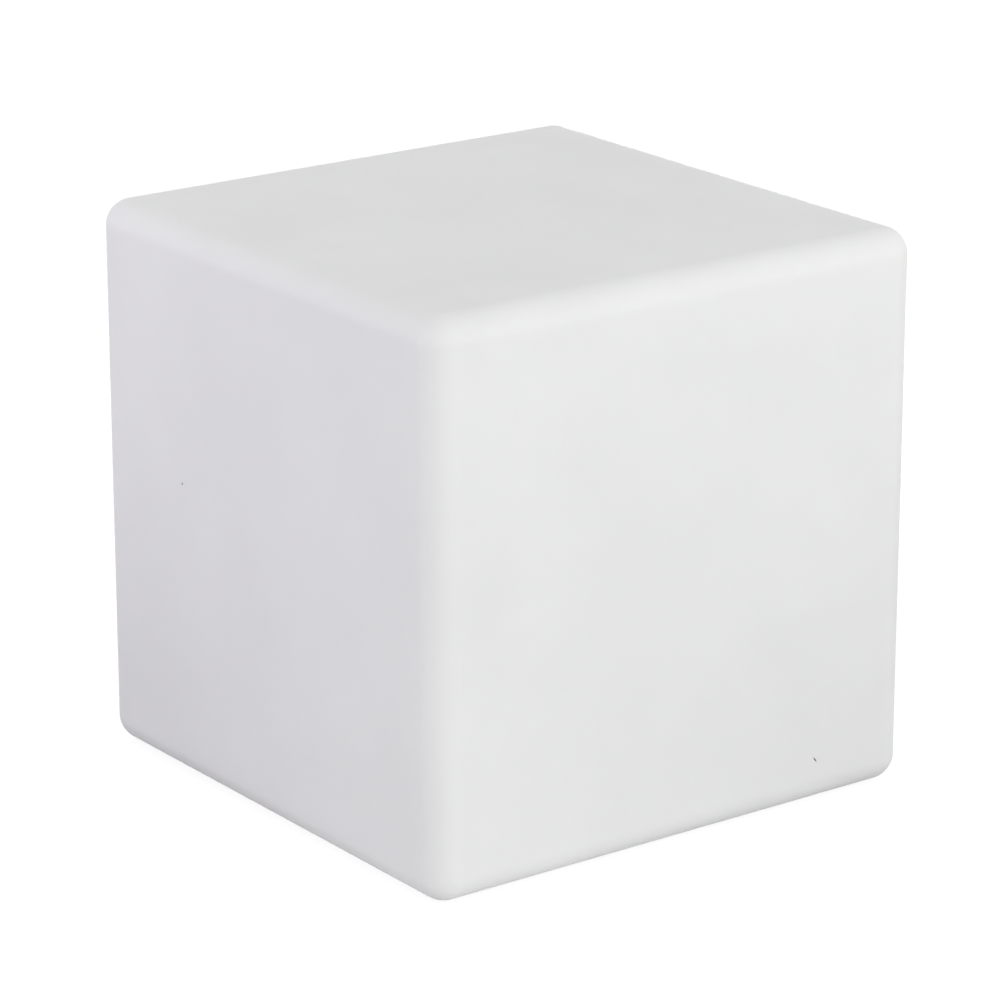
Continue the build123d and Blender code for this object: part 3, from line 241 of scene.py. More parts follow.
outside = seat_rings(0) + [[sunk(point) for point in ring] for ring in base_rings(0) + box_rings(0)]
print("rings outside:", len(outside), "sink in the middle of a face:", sink_at(0, TOP / 2))

# %% Bumps over the inserts
INSERT_BUMP = 15 * MM            # height of the bump over the ledge
INSERT_BUMP_TOP = 6.0 * MM       # radius of its top
INSERT_BUMP_FOOT = 9.5 * MM
INSERT_CIRCLE = (HOLE_RADIUS + SEAT_RADIUS) / 2
insert_places = [turned(45 + 90 * k) @ Vector((INSERT_CIRCLE, 0, 0)) for k in range(4)]


def soft_step(value, low_at, high_at):
    """Goes smoothly from 0 to 1 between two values."""
    share = min(max((value - low_at) / (high_at - low_at), 0), 1)
    return share * share * (3 - 2 * share)


def raised(point):
    """A point of the inner ledge, lifted where it lies over an insert."""
    flat = Vector((point.x, point.y, 0))
    near = min((flat - place).length for place in insert_places)
    moved = point.copy()
    if point.z > LEDGE_HEIGHT:
        moved.z += INSERT_BUMP * (1 - soft_step(near, INSERT_BUMP_TOP, INSERT_BUMP_FOOT))
    return moved


inside = [[raised(point) for point in ring] for ring in seat_rings(WALL)]
inside += [[sunk(point) for point in ring] for ring in base_rings(WALL) + box_rings(WALL)]
print("rings inside:", len(inside), "bumps:", len(insert_places))

# %% [markdown]
# Joining the rings: a quad between each pair of neighbours, then the doubled points in the
# corners and at the middle of the top are merged. Smooth shading alone would make the flat
# faces look puffed up near their edges, so a weighted-normal modifier lets the large faces
# decide: they stay flat in the light while the edges stay round.

# %% Join the skin
SHARP_ANGLE = 35.0               # degrees; a bend over this stays a sharp edge
MERGE_GAP = 1e-6                 # points nearer than this are merged


def to_object(name, mesh):
    """Makes an object in the scene from mesh data that was built point by point."""
    data = bpy.data.meshes.new(name)
    mesh.to_mesh(data)
    mesh.free()
    made = bpy.data.objects.new(name, data)
    bpy.context.scene.collection.objects.link(made)
    return made


def ring_mesh(name, stacks, closed=False):
    """Mesh of quads between neighbouring rings, for one or several stacks of rings."""
    mesh = bmesh.new()
    for rings in stacks:
        rows = [[mesh.verts.new(point) for point in ring] for ring in rings]
        pairs = list(zip(rows, rows[1:]))
        if closed:
            pairs.append((rows[-1], rows[0]))
        for row, after in pairs:
            for i in range(len(row)):
                j = (i + 1) % len(row)
                mesh.faces.new((row[i], row[j], after[j], after[i]))
    bmesh.ops.remove_doubles(mesh, verts=mesh.verts, dist=MERGE_GAP)
    bmesh.ops.recalc_face_normals(mesh, faces=mesh.faces)
    return to_object(name, mesh)


def soften(piece):
    """Smooth shading with crisp corners, and flat faces that stay flat in the light."""
    piece.data.shade_smooth()
    piece.data.set_sharp_from_angle(angle=math.radians(SHARP_ANGLE))
    flats = piece.modifiers.new("flat_faces_stay_flat", "WEIGHTED_NORMAL")
    flats.keep_sharp = True


skin = ring_mesh("cube_skin", [outside + inside[::-1]], closed=True)
print("skin:", len(skin.data.vertices), "points,", len(skin.data.polygons), "faces")

# %% [markdown]
# Each brass insert fills a pocket in the ledge. Rings run round the whole ledge and can't make
# a pocket, so a boolean does: four plain cylinders are taken out of the skin for good.

# %% Pockets for the threaded inserts
INSERT_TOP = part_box("threaded_inserts")[1].z
POCKET_RADIUS = 4.05 * MM
POCKET_START = LEDGE_HEIGHT - 1 * MM     # each cutter starts outside the ledge
POCKET_SIDES = 48


def pocket_cutter(place):
    """Closed upright cylinder that takes up the room of one insert."""
    mesh = bmesh.new()
    middle = Matrix.Translation((place.x, place.y, (POCKET_START + INSERT_TOP) / 2))
    bmesh.ops.create_cone(mesh, cap_ends=True, segments=POCKET_SIDES, radius1=POCKET_RADIUS,
                          radius2=POCKET_RADIUS, depth=INSERT_TOP - POCKET_START, matrix=middle)
    return to_object("pocket", mesh)


def cut(piece, cutters):
    """Takes the cutters out of the piece for good."""
    for cutter in cutters:
        hole = piece.modifiers.new("pocket", "BOOLEAN")
        hole.operation, hole.solver, hole.object = "DIFFERENCE", "EXACT", cutter
    graph = bpy.context.evaluated_depsgraph_get()
    data = bpy.data.meshes.new_from_object(piece.evaluated_get(graph))
    piece.modifiers.clear()
    piece.data = data
    for cutter in cutters:
        bpy.data.objects.remove(cutter)


cut(skin, [pocket_cutter(place) for place in insert_places])
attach(skin, "cube")
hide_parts("shell")
soften(skin)
print("skin with pockets:", len(skin.data.polygons), "faces")

# %% [markdown]
# ## Helpers for finishes
#
# A finish in Blender is a small graph of nodes. Written out in full each one takes many
# lines, so these helpers add a node and fill its sockets in a single call. A socket takes
# either a plain value or the output of another node.

# %% A node in one call
def feed(tree, socket, value):
    """Gives a socket a plain value, or links another node's output to it."""
    if isinstance(value, bpy.types.NodeSocket):
        tree.links.new(value, socket)
    elif socket.type == "RGBA":
        socket.default_value = (*value[:3], 1)
    else:
        socket.default_value = value


def fill(tree, node, **sockets):
    """Feeds a node's sockets by their names, with _ for each space in a name."""
    for key, value in sockets.items():
        feed(tree, node.inputs[key.replace("_", " ")], value)


def add(tree, kind, settings=None, values=(), **sockets):
    """Adds a shader node; values go to its first sockets in order, names to the others."""
    made = tree.nodes.new("ShaderNode" + kind)
    for key, value in (settings or {}).items():
        setattr(made, key, value)
    for socket, value in zip(made.inputs, values):
        feed(tree, socket, value)
    fill(tree, made, **sockets)
    return made


def new_finish(name, roughness, **sockets):
    """A material with its Principled shader, and the coordinates of the piece in metres."""
    material = bpy.data.materials.new(name)
    material.use_nodes = True
    tree = material.node_tree
    shader = tree.nodes["Principled BSDF"]
    fill(tree, shader, Roughness=roughness, **sockets)
    place = add(tree, "TexCoord").outputs["Object"]
    return material, tree, shader, place


# %% [markdown]
# Nearly every finish here is noise at some real size, turned into a colour, a roughness or a
# bump. Noise seldom comes near 0 or 1: most of it lies between 0.3 and 0.7, so that range is
# what gets stretched over two colours.

# %% Noise and what is made of it
MOST = (0.3, 0.7)                # the range that most of a noise keeps to


def noise(tree, place, size, detail=2.0, roughness=0.5):
    """Cloudy noise whose blobs are about size metres across, from 0 to 1."""
    made = add(tree, "TexNoise", Vector=place, Scale=1 / size, Detail=detail, Roughness=roughness)
    return made.outputs["Fac"]


def ramp(tree, factor, low, high, low_at=0.0, high_at=1.0):
    """Colour that goes from low to high as the factor goes from low_at to high_at."""
    made = add(tree, "ValToRGB", Fac=factor)
    first, last = made.color_ramp.elements
    first.position, first.color = low_at, (*low, 1)
    last.position, last.color = high_at, (*high, 1)
    return made.outputs["Color"]


def span(tree, factor, low, high, low_at=0.0, high_at=1.0):
    """Number that goes from low to high as the factor goes from low_at to high_at."""
    made = add(tree, "MapRange", Value=factor, From_Min=low_at, From_Max=high_at, To_Min=low, To_Max=high)
    return made.outputs["Result"]


def bump(tree, shader, height, depth, below=None):
    """Bumps of that depth in metres, laid over those of another bump node."""
    made = add(tree, "Bump", Strength=1.0, Distance=depth, Height=height)
    if below is not None:
        fill(tree, made, Normal=below)
    fill(tree, shader, Normal=made.outputs["Normal"])
    return made.outputs["Normal"]


# %% [markdown]
# ## White polyethylene
#
# The plastic lets light in, scatters it and gives it back, which softens every edge. That
# is subsurface scattering, with a reach of a few millimetres. On top of it the surface has
# the mould's fine orange peel, long faint waves, and a satin gloss that varies a little.
# Powder-moulded plastic also holds a few tiny dark grains: a noise would put them anywhere,
# so the two that can be seen are set by their real places on the faces.

# %% Dark grains
GRAIN_BLACK = (0.03, 0.03, 0.03)
GRAIN_RIM = (0.6, 1.2)           # where a grain starts to fade and where it ends
GRAINS = [  # middle of each dark grain, its half width and half length, its lean, how dark
    {"middle": (-0.2, 0.0963, 0.2155), "reach": (0.85 * MM, 0.9 * MM), "lean": 0.0, "shade": 0.85},
    {"middle": (0.1186, -0.2, 0.0332), "reach": (0.52 * MM, 2.3 * MM), "lean": -0.66, "shade": 0.95},
]


def distance(tree, place, point, squeeze=(1, 1, 1)):
    """Distance from a point, or from a line where squeeze is 0 along that line."""
    offset = add(tree, "VectorMath", {"operation": "SUBTRACT"}, [place, point]).outputs["Vector"]
    scaled = add(tree, "VectorMath", {"operation": "MULTIPLY"}, [offset, squeeze]).outputs["Vector"]
    return add(tree, "VectorMath", {"operation": "LENGTH"}, [scaled]).outputs["Value"]


def grain_mask(tree, place, grain):
    """Dark on a grain and 0 outside it, with a soft rim."""
    across, along = grain["reach"]
    local = add(tree, "Mapping", {"vector_type": "TEXTURE"}, Vector=place, Location=grain["middle"],
                Rotation=(0, grain["lean"], 0), Scale=(across, across, along))
    reach = distance(tree, local.outputs["Vector"], (0, 0, 0))
    return span(tree, reach, grain["shade"], 0.0, *GRAIN_RIM)


def mixed(tree, mask, below, above):
    """Colour that is below where the mask is 0, and above where it is 1."""
    made = add(tree, "Mix", {"data_type": "RGBA"}, [mask])
    feed(tree, made.inputs[6], below)        # a Mix node keeps its two colours in 6 and 7
    feed(tree, made.inputs[7], above)
    return made.outputs[2]


print("dark grains:", len(GRAINS))

# %% Polyethylene finish
PEEL_SIZE = 1.6 * MM
PEEL_DEPTH = 0.03 * MM
WAVE_SIZE = 45 * MM
WAVE_DEPTH = 0.10 * MM
CLOUD_SIZE = 90 * MM
GLOSS_SIZE = 12 * PEEL_SIZE
SKIN_WHITES = (0.80, 0.80, 0.802), (0.825, 0.825, 0.824)


def polyethylene():
    """Satin translucent white with orange peel, faint clouds and two dark grains."""
    material, tree, shader, place = new_finish(
        "white_polyethylene", 0.5, Subsurface_Weight=1.0, Subsurface_Radius=(1.0, 0.92, 0.88),
        Subsurface_Scale=3 * MM, IOR=1.51, Specular_IOR_Level=0.35)
    colour = ramp(tree, noise(tree, place, CLOUD_SIZE, detail=3.0), *SKIN_WHITES, *MOST)
    for grain in GRAINS:
        colour = mixed(tree, grain_mask(tree, place, grain), colour, GRAIN_BLACK)
    gloss = span(tree, noise(tree, place, GLOSS_SIZE, detail=4.0), 0.44, 0.56)
    fill(tree, shader, Base_Color=colour, Roughness=gloss)
    waves = bump(tree, shader, noise(tree, place, WAVE_SIZE, detail=1.0), WAVE_DEPTH)
    bump(tree, shader, noise(tree, place, PEEL_SIZE), PEEL_DEPTH, below=waves)
    return material


skin.data.materials.clear()
skin.data.materials.append(polyethylene())
print("finish:", skin.data.materials[0].name)

# %% [markdown]
# ## Finishes for the lamp unit
#
# The lamp unit's pieces come from CAD and keep their shape. Each gets its finish in its own
# material slots. Most of them are moulded plastic, and moulded plastic differs in three
# things: its colour, the grain that was etched into the mould, and how glossy that leaves it.
# One function takes those three and serves every moulded piece.

# %% Moulded plastics
CLOUD_GRAINS = 40                # size of a cloud of colour, in grains
RUBBED_GRAINS = 15               # size of a glossier patch, in grains


def dress(finish, *nodes):
    """Puts a finish on CAD pieces."""
    for node in nodes:
        for slot in frame["nodes"][node].material_slots:
            slot.material = finish
    print(finish.name, "on", ", ".join(nodes))


def moulded(name, dark, light, grain, depth, gloss, **sockets):
    """Moulded plastic: faint clouds of colour, etched grain, and gloss that wanders."""
    material, tree, shader, place = new_finish(name, gloss[0], **sockets)
    clouds = noise(tree, place, CLOUD_GRAINS * grain, detail=3.0)
    rubbed = noise(tree, place, RUBBED_GRAINS * grain, detail=4.0)
    fill(tree, shader, Base_Color=ramp(tree, clouds, dark, light, *MOST),
         Roughness=span(tree, rubbed, *gloss, *MOST))
    bump(tree, shader, noise(tree, place, grain, detail=3.0, roughness=0.6), depth)
    return material


housing_white = moulded(
    "etched_white_plastic", (0.77, 0.77, 0.755), (0.81, 0.81, 0.80),
    grain=0.35 * MM, depth=0.02 * MM, gloss=(0.48, 0.62), Subsurface_Weight=0.15, Subsurface_Scale=1 * MM)
dress(housing_white, "lamp_housing", "bottom_cover")

tray_black = moulded(
    "etched_black_plastic", (0.022, 0.022, 0.024), (0.038, 0.038, 0.04),
    grain=0.4 * MM, depth=0.02 * MM, gloss=(0.42, 0.6))
dress(tray_black, "battery_tray", "tact_switch", "charge_jack", "switch_plunger")

nylon = moulded(
    "natural_nylon", (0.76, 0.72, 0.62), (0.82, 0.79, 0.70),
    grain=0.3 * MM, depth=0.008 * MM, gloss=(0.3, 0.42), Subsurface_Weight=0.5, Subsurface_Scale=1 * MM)
dress(nylon, "lead_connectors")

# %% [markdown]
# The power button is the one piece that fingers touch. Its cap leaves the mould smooth, and
# thumbs polish the middle of it, so its gloss depends on the distance from the cap's axis.
# Wiping leaves hairlines: the same noise, squeezed along one direction.

# %% Power button
BUTTON_GREYS = (0.60, 0.61, 0.62), (0.64, 0.65, 0.66)
POLISHED = 0.3                   # share of the cap's radius that thumbs have polished fully


def maths(tree, operation, *values):
    """One step of arithmetic on numbers or on the outputs of other nodes."""
    return add(tree, "Math", {"operation": operation}, values).outputs["Value"]


def squeezed(tree, place, scale, turn=0.0):
    """Coordinates that stretch a pattern along the directions where the scale is small."""
    return add(tree, "Mapping", Vector=place, Rotation=(0, 0, turn), Scale=scale).outputs["Vector"]


def polished_button():
    """Smooth light grey plastic, shinier in the middle of the cap, with hairline scratches."""
    material, tree, shader, place = new_finish("polished_grey_plastic", 0.4)
    low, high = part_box("power_button")
    axis = ((low.x + high.x) / 2, 0, 0)
    radius = (high.x - low.x) / 2
    from_axis = distance(tree, place, axis, squeeze=(1, 1, 0))
    touched = span(tree, from_axis, 0.22, 0.42, POLISHED * radius, radius)
    smudge = span(tree, noise(tree, place, 2.5 * MM, detail=5.0), -0.05, 0.08)
    fill(tree, shader, Base_Color=ramp(tree, noise(tree, place, 6 * MM), *BUTTON_GREYS, *MOST),
         Roughness=maths(tree, "ADD", touched, smudge))
    wiped = squeezed(tree, place, (1, 0.06, 1), turn=0.5)
    bump(tree, shader, noise(tree, wiped, 0.25 * MM, detail=4.0), 0.004 * MM)
    return material


dress(polished_button(), "power_button")

# %% [markdown]
# ## Rubbers
#
# Seals are matt black silicone, and the charging hole's plug is a softer grey rubber. Both
# drink light rather than mirror it, so their sheen is wide and weak. What makes them look
# like rubber is the pale bloom that lies on them in patches, and a skin with fine pores.

# %% Rubber finishes
def rubber(name, colour, bloom, pores, **sockets):
    """Matt rubber with patches of pale bloom and fine pores."""
    material, tree, shader, place = new_finish(
        name, 0.7, Specular_IOR_Level=0.3, Sheen_Weight=0.15, **sockets)
    patches = noise(tree, place, 5 * MM, detail=6.0, roughness=0.65)
    fill(tree, shader, Base_Color=ramp(tree, patches, colour, bloom, 0.45, 0.85),
         Roughness=span(tree, patches, 0.62, 0.85, 0.35, 0.7))
    bump(tree, shader, noise(tree, place, pores), pores / 12)
    return material


black_silicone = rubber("black_silicone", (0.022, 0.022, 0.022), (0.06, 0.06, 0.058), 0.25 * MM)
dress(black_silicone, "seal_ring", "cover_seal", "button_o_ring", "dome_seal")
grey_rubber = rubber("grey_rubber", (0.53, 0.54, 0.55), (0.64, 0.645, 0.65), 0.2 * MM,
                     Subsurface_Weight=0.2, Subsurface_Scale=0.6 * MM)
dress(grey_rubber, "port_plug", "plug_anchor")

# %% [markdown]
# ## Screws and other metal
#
# A stainless screw is rolled and then tumbled, so its head is bright with soft scratches and
# its shank carries the thread. CAD keeps the shanks plain. Modelling the helix for so many
# hidden screws would cost many faces, and all of them stand along Z, so the thread is a wave
# along Z in the bump, kept to the heights where that screw's shank is.

# %% Bright metal and masks by height
SCRATCH_SIZE = 0.3 * MM
DULLING = 0.86                   # what a stain leaves of the metal's colour


def bright_metal(name, colour, gloss):
    """Bare metal with soft scratches, from which the other metals are made."""
    material, tree, shader, place = new_finish(name, gloss[0], Metallic=1.0)
    dull = tuple(channel * DULLING for channel in colour)
    stains = noise(tree, place, 3 * MM, detail=5.0, roughness=0.6)
    worn = noise(tree, place, SCRATCH_SIZE, detail=6.0, roughness=0.7)
    fill(tree, shader, Base_Color=ramp(tree, stains, dull, colour, 0.3, 0.6),
         Roughness=span(tree, worn, *gloss, *MOST))
    fine = bump(tree, shader, worn, 0.006 * MM)
    return material, tree, shader, place, fine


def part_of(tree, place, axis):
    """The part of a place along X, Y or Z."""
    return add(tree, "SeparateXYZ", Vector=place).outputs[axis]


def within(tree, value, low, high, soft=0.05 * MM):
    """1 where the value lies between low and high and 0 outside, with a soft border."""
    rise = span(tree, value, 0.0, 1.0, low - soft, low)
    fall = span(tree, value, 1.0, 0.0, high, high + soft)
    return maths(tree, "MULTIPLY", rise, fall)


# %% Steel screws
THREAD_DEPTH = 0.35 * MM
SCREWS = {  # node: which way the head faces, height of the head, pitch of the thread
    "flange_screws": ("down", 2.4 * MM, 0.7 * MM),
    "cover_screws": ("down", 1.6 * MM, 0.9 * MM),
    "tray_screws": ("up", 1.6 * MM, 0.9 * MM),
    "board_screws": ("up", 1.4 * MM, 0.8 * MM),
    "clamp_screws": ("up", 1.4 * MM, 0.8 * MM),
    "led_board_screws": ("up", 1.4 * MM, 0.8 * MM),
}


def screw_steel(node, facing, head, pitch):
    """Stainless steel with a thread along the screws' shanks."""
    material, tree, shader, place, fine = bright_metal("stainless_" + node, (0.63, 0.63, 0.64), (0.2, 0.36))
    low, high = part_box(node)
    shank = (low.z + head, high.z) if facing == "down" else (low.z, high.z - head)
    height = part_of(tree, place, "Z")
    turns = maths(tree, "PINGPONG", height, pitch / 2)
    thread = maths(tree, "MULTIPLY", maths(tree, "DIVIDE", turns, pitch / 2), within(tree, height, *shank))
    bump(tree, shader, thread, THREAD_DEPTH, below=fine)
    return material


for node, (facing, head, pitch) in SCREWS.items():
    dress(screw_steel(node, facing, head, pitch), node)

# %% [markdown]
# The clip and the battery clamp are stamped from sheet, so rolling lines run along them. The
# contacts are nickel plated and brighter. The inserts are turned from brass bar, which
# leaves fine grooves round them.

# %% Sheet steel, nickel and brass
def lined_metal(name, colour, gloss, squeeze, size, depth):
    """Metal with fine lines: squeeze is small along the lines."""
    material, tree, shader, place, fine = bright_metal(name, colour, gloss)
    lines = noise(tree, squeezed(tree, place, squeeze), size, detail=3.0)
    bump(tree, shader, lines, depth, below=fine)
    return material


steel = lined_metal("rolled_steel", (0.60, 0.60, 0.61), (0.26, 0.42), (1, 0.03, 0.03), 0.15 * MM, 0.006 * MM)
nickel = lined_metal("nickel_plate", (0.75, 0.74, 0.70), (0.16, 0.3), (0.05, 0.05, 1), 0.12 * MM, 0.003 * MM)
brass = lined_metal("turned_brass", (0.72, 0.52, 0.20), (0.2, 0.36), (0.02, 0.02, 1), 0.1 * MM, 0.01 * MM)
dress(steel, "battery_clamp", "button_clip")
dress(nickel, "battery_tabs", "jack_pin")
dress(brass, "threaded_inserts")

# %% [markdown]
# ## Circuit boards
#
# Copper tracks lie under the boards' lacquer as slightly lighter, slightly raised lines. They
# run straight, in bundles, and turn at right angles. Cells of a Voronoi texture stand for the
# bundles: a random number of each cell says whether its tracks run along X or along Y, and a
# second one leaves some cells as plain copper. The cut edge of a board shows its core.

# %% Board finishes
TRACK_HALF = 0.2                 # half a track's width, as a share of the pitch
PLAIN_OVER = 0.7                 # cells whose second number is over this are plain copper


def tracks(tree, place, cell, pitch):
    """1 on a copper track and 0 between two tracks."""
    flat = squeezed(tree, place, (1, 1, 0))
    cells = add(tree, "TexVoronoi", {"distance": "CHEBYCHEV"}, Vector=flat, Scale=1 / cell, Randomness=0.8)
    chance = add(tree, "SeparateColor", Color=cells.outputs["Color"]).outputs
    waves = [maths(tree, "PINGPONG", part_of(tree, flat, axis), pitch / 2) for axis in ("X", "Y")]
    lines = [within(tree, wave, 0.0, TRACK_HALF * pitch, 0.04 * pitch) for wave in waves]
    picked = span(tree, maths(tree, "GREATER_THAN", chance["Red"], 0.5), *lines)
    return maths(tree, "MAXIMUM", picked, maths(tree, "GREATER_THAN", chance["Green"], PLAIN_OVER))


def lacquered_board(name, between_tracks, on_tracks, core, core_metal, cell, pitch):
    """Circuit board: lacquer over tracks on its faces, the bare core on its edges."""
    material, tree, shader, place = new_finish(name, 0.3, Specular_IOR_Level=0.5)
    copper = tracks(tree, place, cell, pitch)
    lacquer = mixed(tree, copper, between_tracks, on_tracks)
    upright = part_of(tree, add(tree, "NewGeometry").outputs["Normal"], "Z")
    face = maths(tree, "GREATER_THAN", maths(tree, "ABSOLUTE", upright), 0.5)
    wet = span(tree, noise(tree, place, 1.5 * MM, detail=3.0), 0.2, 0.38)
    fill(tree, shader, Base_Color=mixed(tree, face, core, lacquer),
         Metallic=span(tree, face, core_metal, 0.0), Roughness=wet)
    grain = bump(tree, shader, noise(tree, place, 0.3 * MM), 0.004 * MM)
    bump(tree, shader, copper, 0.02 * MM, below=grain)
    return material


green_board = lacquered_board(
    "green_board", (0.012, 0.115, 0.045), (0.03, 0.21, 0.09), core=(0.52, 0.47, 0.25), core_metal=0.0,
    cell=7 * MM, pitch=0.8 * MM)
dress(green_board, "control_board")

white_board = lacquered_board(
    "white_board", (0.84, 0.84, 0.83), (0.79, 0.79, 0.775), core=(0.72, 0.72, 0.73), core_metal=1.0,
    cell=14 * MM, pitch=2.4 * MM)
dress(white_board, "led_board")

# %% [markdown]
# ## What the boards carry
#
# The chips, the coil and the capacitor are one CAD node, so the finish tells them apart by
# place: black epoxy everywhere, but bare aluminium inside the capacitor's circle, with a dark
# half-moon on its top that marks one lead. The receiver is epoxy above its legs and tinned
# metal below. Epoxy is moulded against polished steel, and a hint of its glass filler shows.

# %% Which parts are metal
CAPACITOR = (-14 * MM, 3 * MM, 0)        # axis of the capacitor's can
CAN_RADIUS = 3.1 * MM
CAN_REACH = 1.03 * CAN_RADIUS            # the mask reaches just past the can's wall
MARK_EDGE = CAPACITOR[0] - 0.35 * CAN_RADIUS
MARK_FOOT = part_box("board_components")[1].z - 0.3 * MM
RECEIVER_LEGS_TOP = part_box("led_board")[1].z + 3 * MM
print("bare metal: a can at", CAPACITOR[:2], "and legs below", round(RECEIVER_LEGS_TOP, 4))


def capacitor_can(tree, place):
    """1 inside the capacitor's circle."""
    return within(tree, distance(tree, place, CAPACITOR, squeeze=(1, 1, 0)), 0.0, CAN_REACH)


def half_moon(tree, place):
    """1 on a slice of the capacitor's top."""
    beside = maths(tree, "LESS_THAN", part_of(tree, place, "X"), MARK_EDGE)
    on_top = maths(tree, "GREATER_THAN", part_of(tree, place, "Z"), MARK_FOOT)
    return maths(tree, "MULTIPLY", maths(tree, "MULTIPLY", beside, capacitor_can(tree, place)), on_top)


def receiver_legs(tree, place):
    """1 below the receiver's body."""
    return maths(tree, "LESS_THAN", part_of(tree, place, "Z"), RECEIVER_LEGS_TOP)


# %% Epoxy parts
EPOXY_BLACKS = (0.014, 0.014, 0.016), (0.035, 0.035, 0.037)


def epoxy(name, metal_mask, mark_mask=None):
    """Black epoxy, with tinned or bare metal where the mask is 1 and a dark mark on that."""
    material, tree, shader, place = new_finish(name, 0.35)
    metal = metal_mask(tree, place)
    specks = noise(tree, place, 0.15 * MM)
    colour = mixed(tree, metal, ramp(tree, specks, *EPOXY_BLACKS), (0.70, 0.70, 0.69))
    if mark_mask:
        mark = mark_mask(tree, place)
        colour = mixed(tree, mark, colour, (0.03, 0.03, 0.035))
        metal = maths(tree, "SUBTRACT", metal, mark)
    fill(tree, shader, Base_Color=colour, Metallic=metal,
         Roughness=span(tree, noise(tree, place, 1 * MM, detail=4.0), 0.25, 0.45))
    bump(tree, shader, specks, 0.004 * MM)
    return material


dress(epoxy("chip_epoxy", capacitor_can, half_moon), "board_components")
dress(epoxy("receiver_epoxy", receiver_legs), "ir_receiver")
led_frame = moulded("led_frame_white", (0.82, 0.82, 0.80), (0.87, 0.87, 0.86),
                    grain=0.1 * MM, depth=0.002 * MM, gloss=(0.35, 0.5))
dress(led_frame, "leds")

# %% [markdown]
# ## Cells and leads
#
# A battery cell is a bright steel can in a plain blue shrink sleeve. The sleeve folds over
# both ends and leaves a round metal face free, so the finish asks how far a point lies from
# the cell's axis and whether it is on an end. Both cells share one finish, because the sign
# of Y is dropped first. Sleeve film is glossy and shrinks in faint rings round the cell.

# %% Cells
cells_low, cells_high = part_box("battery_cells")
CELL_AXIS_Y = cells_high.y - (cells_high.z - cells_low.z) / 2
CELL_AXIS_Z = (cells_low.z + cells_high.z) / 2
CELL_FREE_FACE = 6.6 * MM                # radius of the metal that the sleeve leaves free
CELL_END = cells_high.x - 0.1 * MM
SLEEVE_BLUES = (0.04, 0.19, 0.37), (0.06, 0.25, 0.46)


def sleeved_cell():
    """Blue shrink sleeve with bare metal in the middle of each end."""
    material, tree, shader, place = new_finish("blue_sleeve", 0.25, Coat_Weight=0.3, Coat_Roughness=0.15)
    x, y, z = (part_of(tree, place, axis) for axis in "XYZ")
    folded = add(tree, "CombineXYZ", Y=maths(tree, "ABSOLUTE", y), Z=z).outputs["Vector"]
    from_axis = distance(tree, folded, (0, CELL_AXIS_Y, CELL_AXIS_Z))
    at_end = maths(tree, "GREATER_THAN", maths(tree, "ABSOLUTE", x), CELL_END)
    bare = maths(tree, "MULTIPLY", at_end, within(tree, from_axis, 0.0, CELL_FREE_FACE))
    film = ramp(tree, noise(tree, place, 9 * MM), *SLEEVE_BLUES, *MOST)
    fill(tree, shader, Base_Color=mixed(tree, bare, film, (0.66, 0.66, 0.65)), Metallic=bare,
         Roughness=span(tree, noise(tree, place, 4 * MM, detail=4.0), 0.18, 0.34))
    rings = squeezed(tree, place, (1, 0.1, 0.1))
    bump(tree, shader, noise(tree, rings, 1.2 * MM), 0.03 * MM)
    return material


dress(sleeved_cell(), "battery_cells")

# %% [markdown]
# One battery lead is red and the other, on the minus side, is black. They are one CAD node,
# so the side of the cube they lie on picks the colour. The flat lead to the LED board is the
# same soft insulation in grey. Both have the faint lines that the die left along them.

# %% Leads
LEAD_DIRT = (0.3, 0.29, 0.27)
LEAD_GREY = (0.70, 0.70, 0.70)


def insulation(name, front, back, squeeze):
    """Soft insulation: one colour where Y is over 0 and another where it is under."""
    material, tree, shader, place = new_finish(name, 0.45)
    side = maths(tree, "GREATER_THAN", part_of(tree, place, "Y"), 0.0)
    dirt = noise(tree, place, 3 * MM, detail=5.0)
    dirty = span(tree, dirt, 0.0, 0.12, 0.45, 0.75)
    fill(tree, shader, Base_Color=mixed(tree, dirty, mixed(tree, side, back, front), LEAD_DIRT),
         Roughness=span(tree, dirt, 0.38, 0.55, *MOST))
    bump(tree, shader, noise(tree, squeezed(tree, place, squeeze), 0.3 * MM), 0.01 * MM)
    return material


red_and_black = insulation("red_and_black_wire", (0.45, 0.02, 0.02), (0.02, 0.02, 0.022), (1, 1, 0.1))
dress(red_and_black, "battery_leads")
dress(insulation("grey_flat_lead", LEAD_GREY, LEAD_GREY, (0.1, 1, 0.1)), "led_lead")

# %% [markdown]
# ## The diffuser dome
#
# The dome is polycarbonate with a white filler and a sandblasted inside: light passes
# through it but no image does. A strong subsurface colour with some true transmission and a
# fine frost in the bump gives that.

# %% Frosted dome
MILK_WHITES = (0.85, 0.85, 0.84), (0.90, 0.90, 0.89)


def frosted():
    """Milky plastic with a fine frost."""
    material, tree, shader, place = new_finish(
        "frosted_polycarbonate", 0.45, Subsurface_Weight=0.7, Subsurface_Scale=2 * MM,
        Transmission_Weight=0.25, IOR=1.58)
    milk = ramp(tree, noise(tree, place, 14 * MM, detail=3.0), *MILK_WHITES, *MOST)
    frost = noise(tree, place, 0.2 * MM, detail=4.0, roughness=0.7)
    fill(tree, shader, Base_Color=milk, Roughness=span(tree, frost, 0.38, 0.55))
    bump(tree, shader, frost, 0.012 * MM)
    return material


dress(frosted(), "diffuser_dome")

# %% [markdown]
# ## Small details that CAD leaves out
#
# A few things are too small for CAD, but a close look at the opened lamp misses them: the gel
# in the LEDs, the chips' legs, solder and weld spots. All of them are stacks of rings again:
# a lathed shape is a stack of circles, and a bent leg is a stack of small rectangles. A ring
# of no width closes each end.

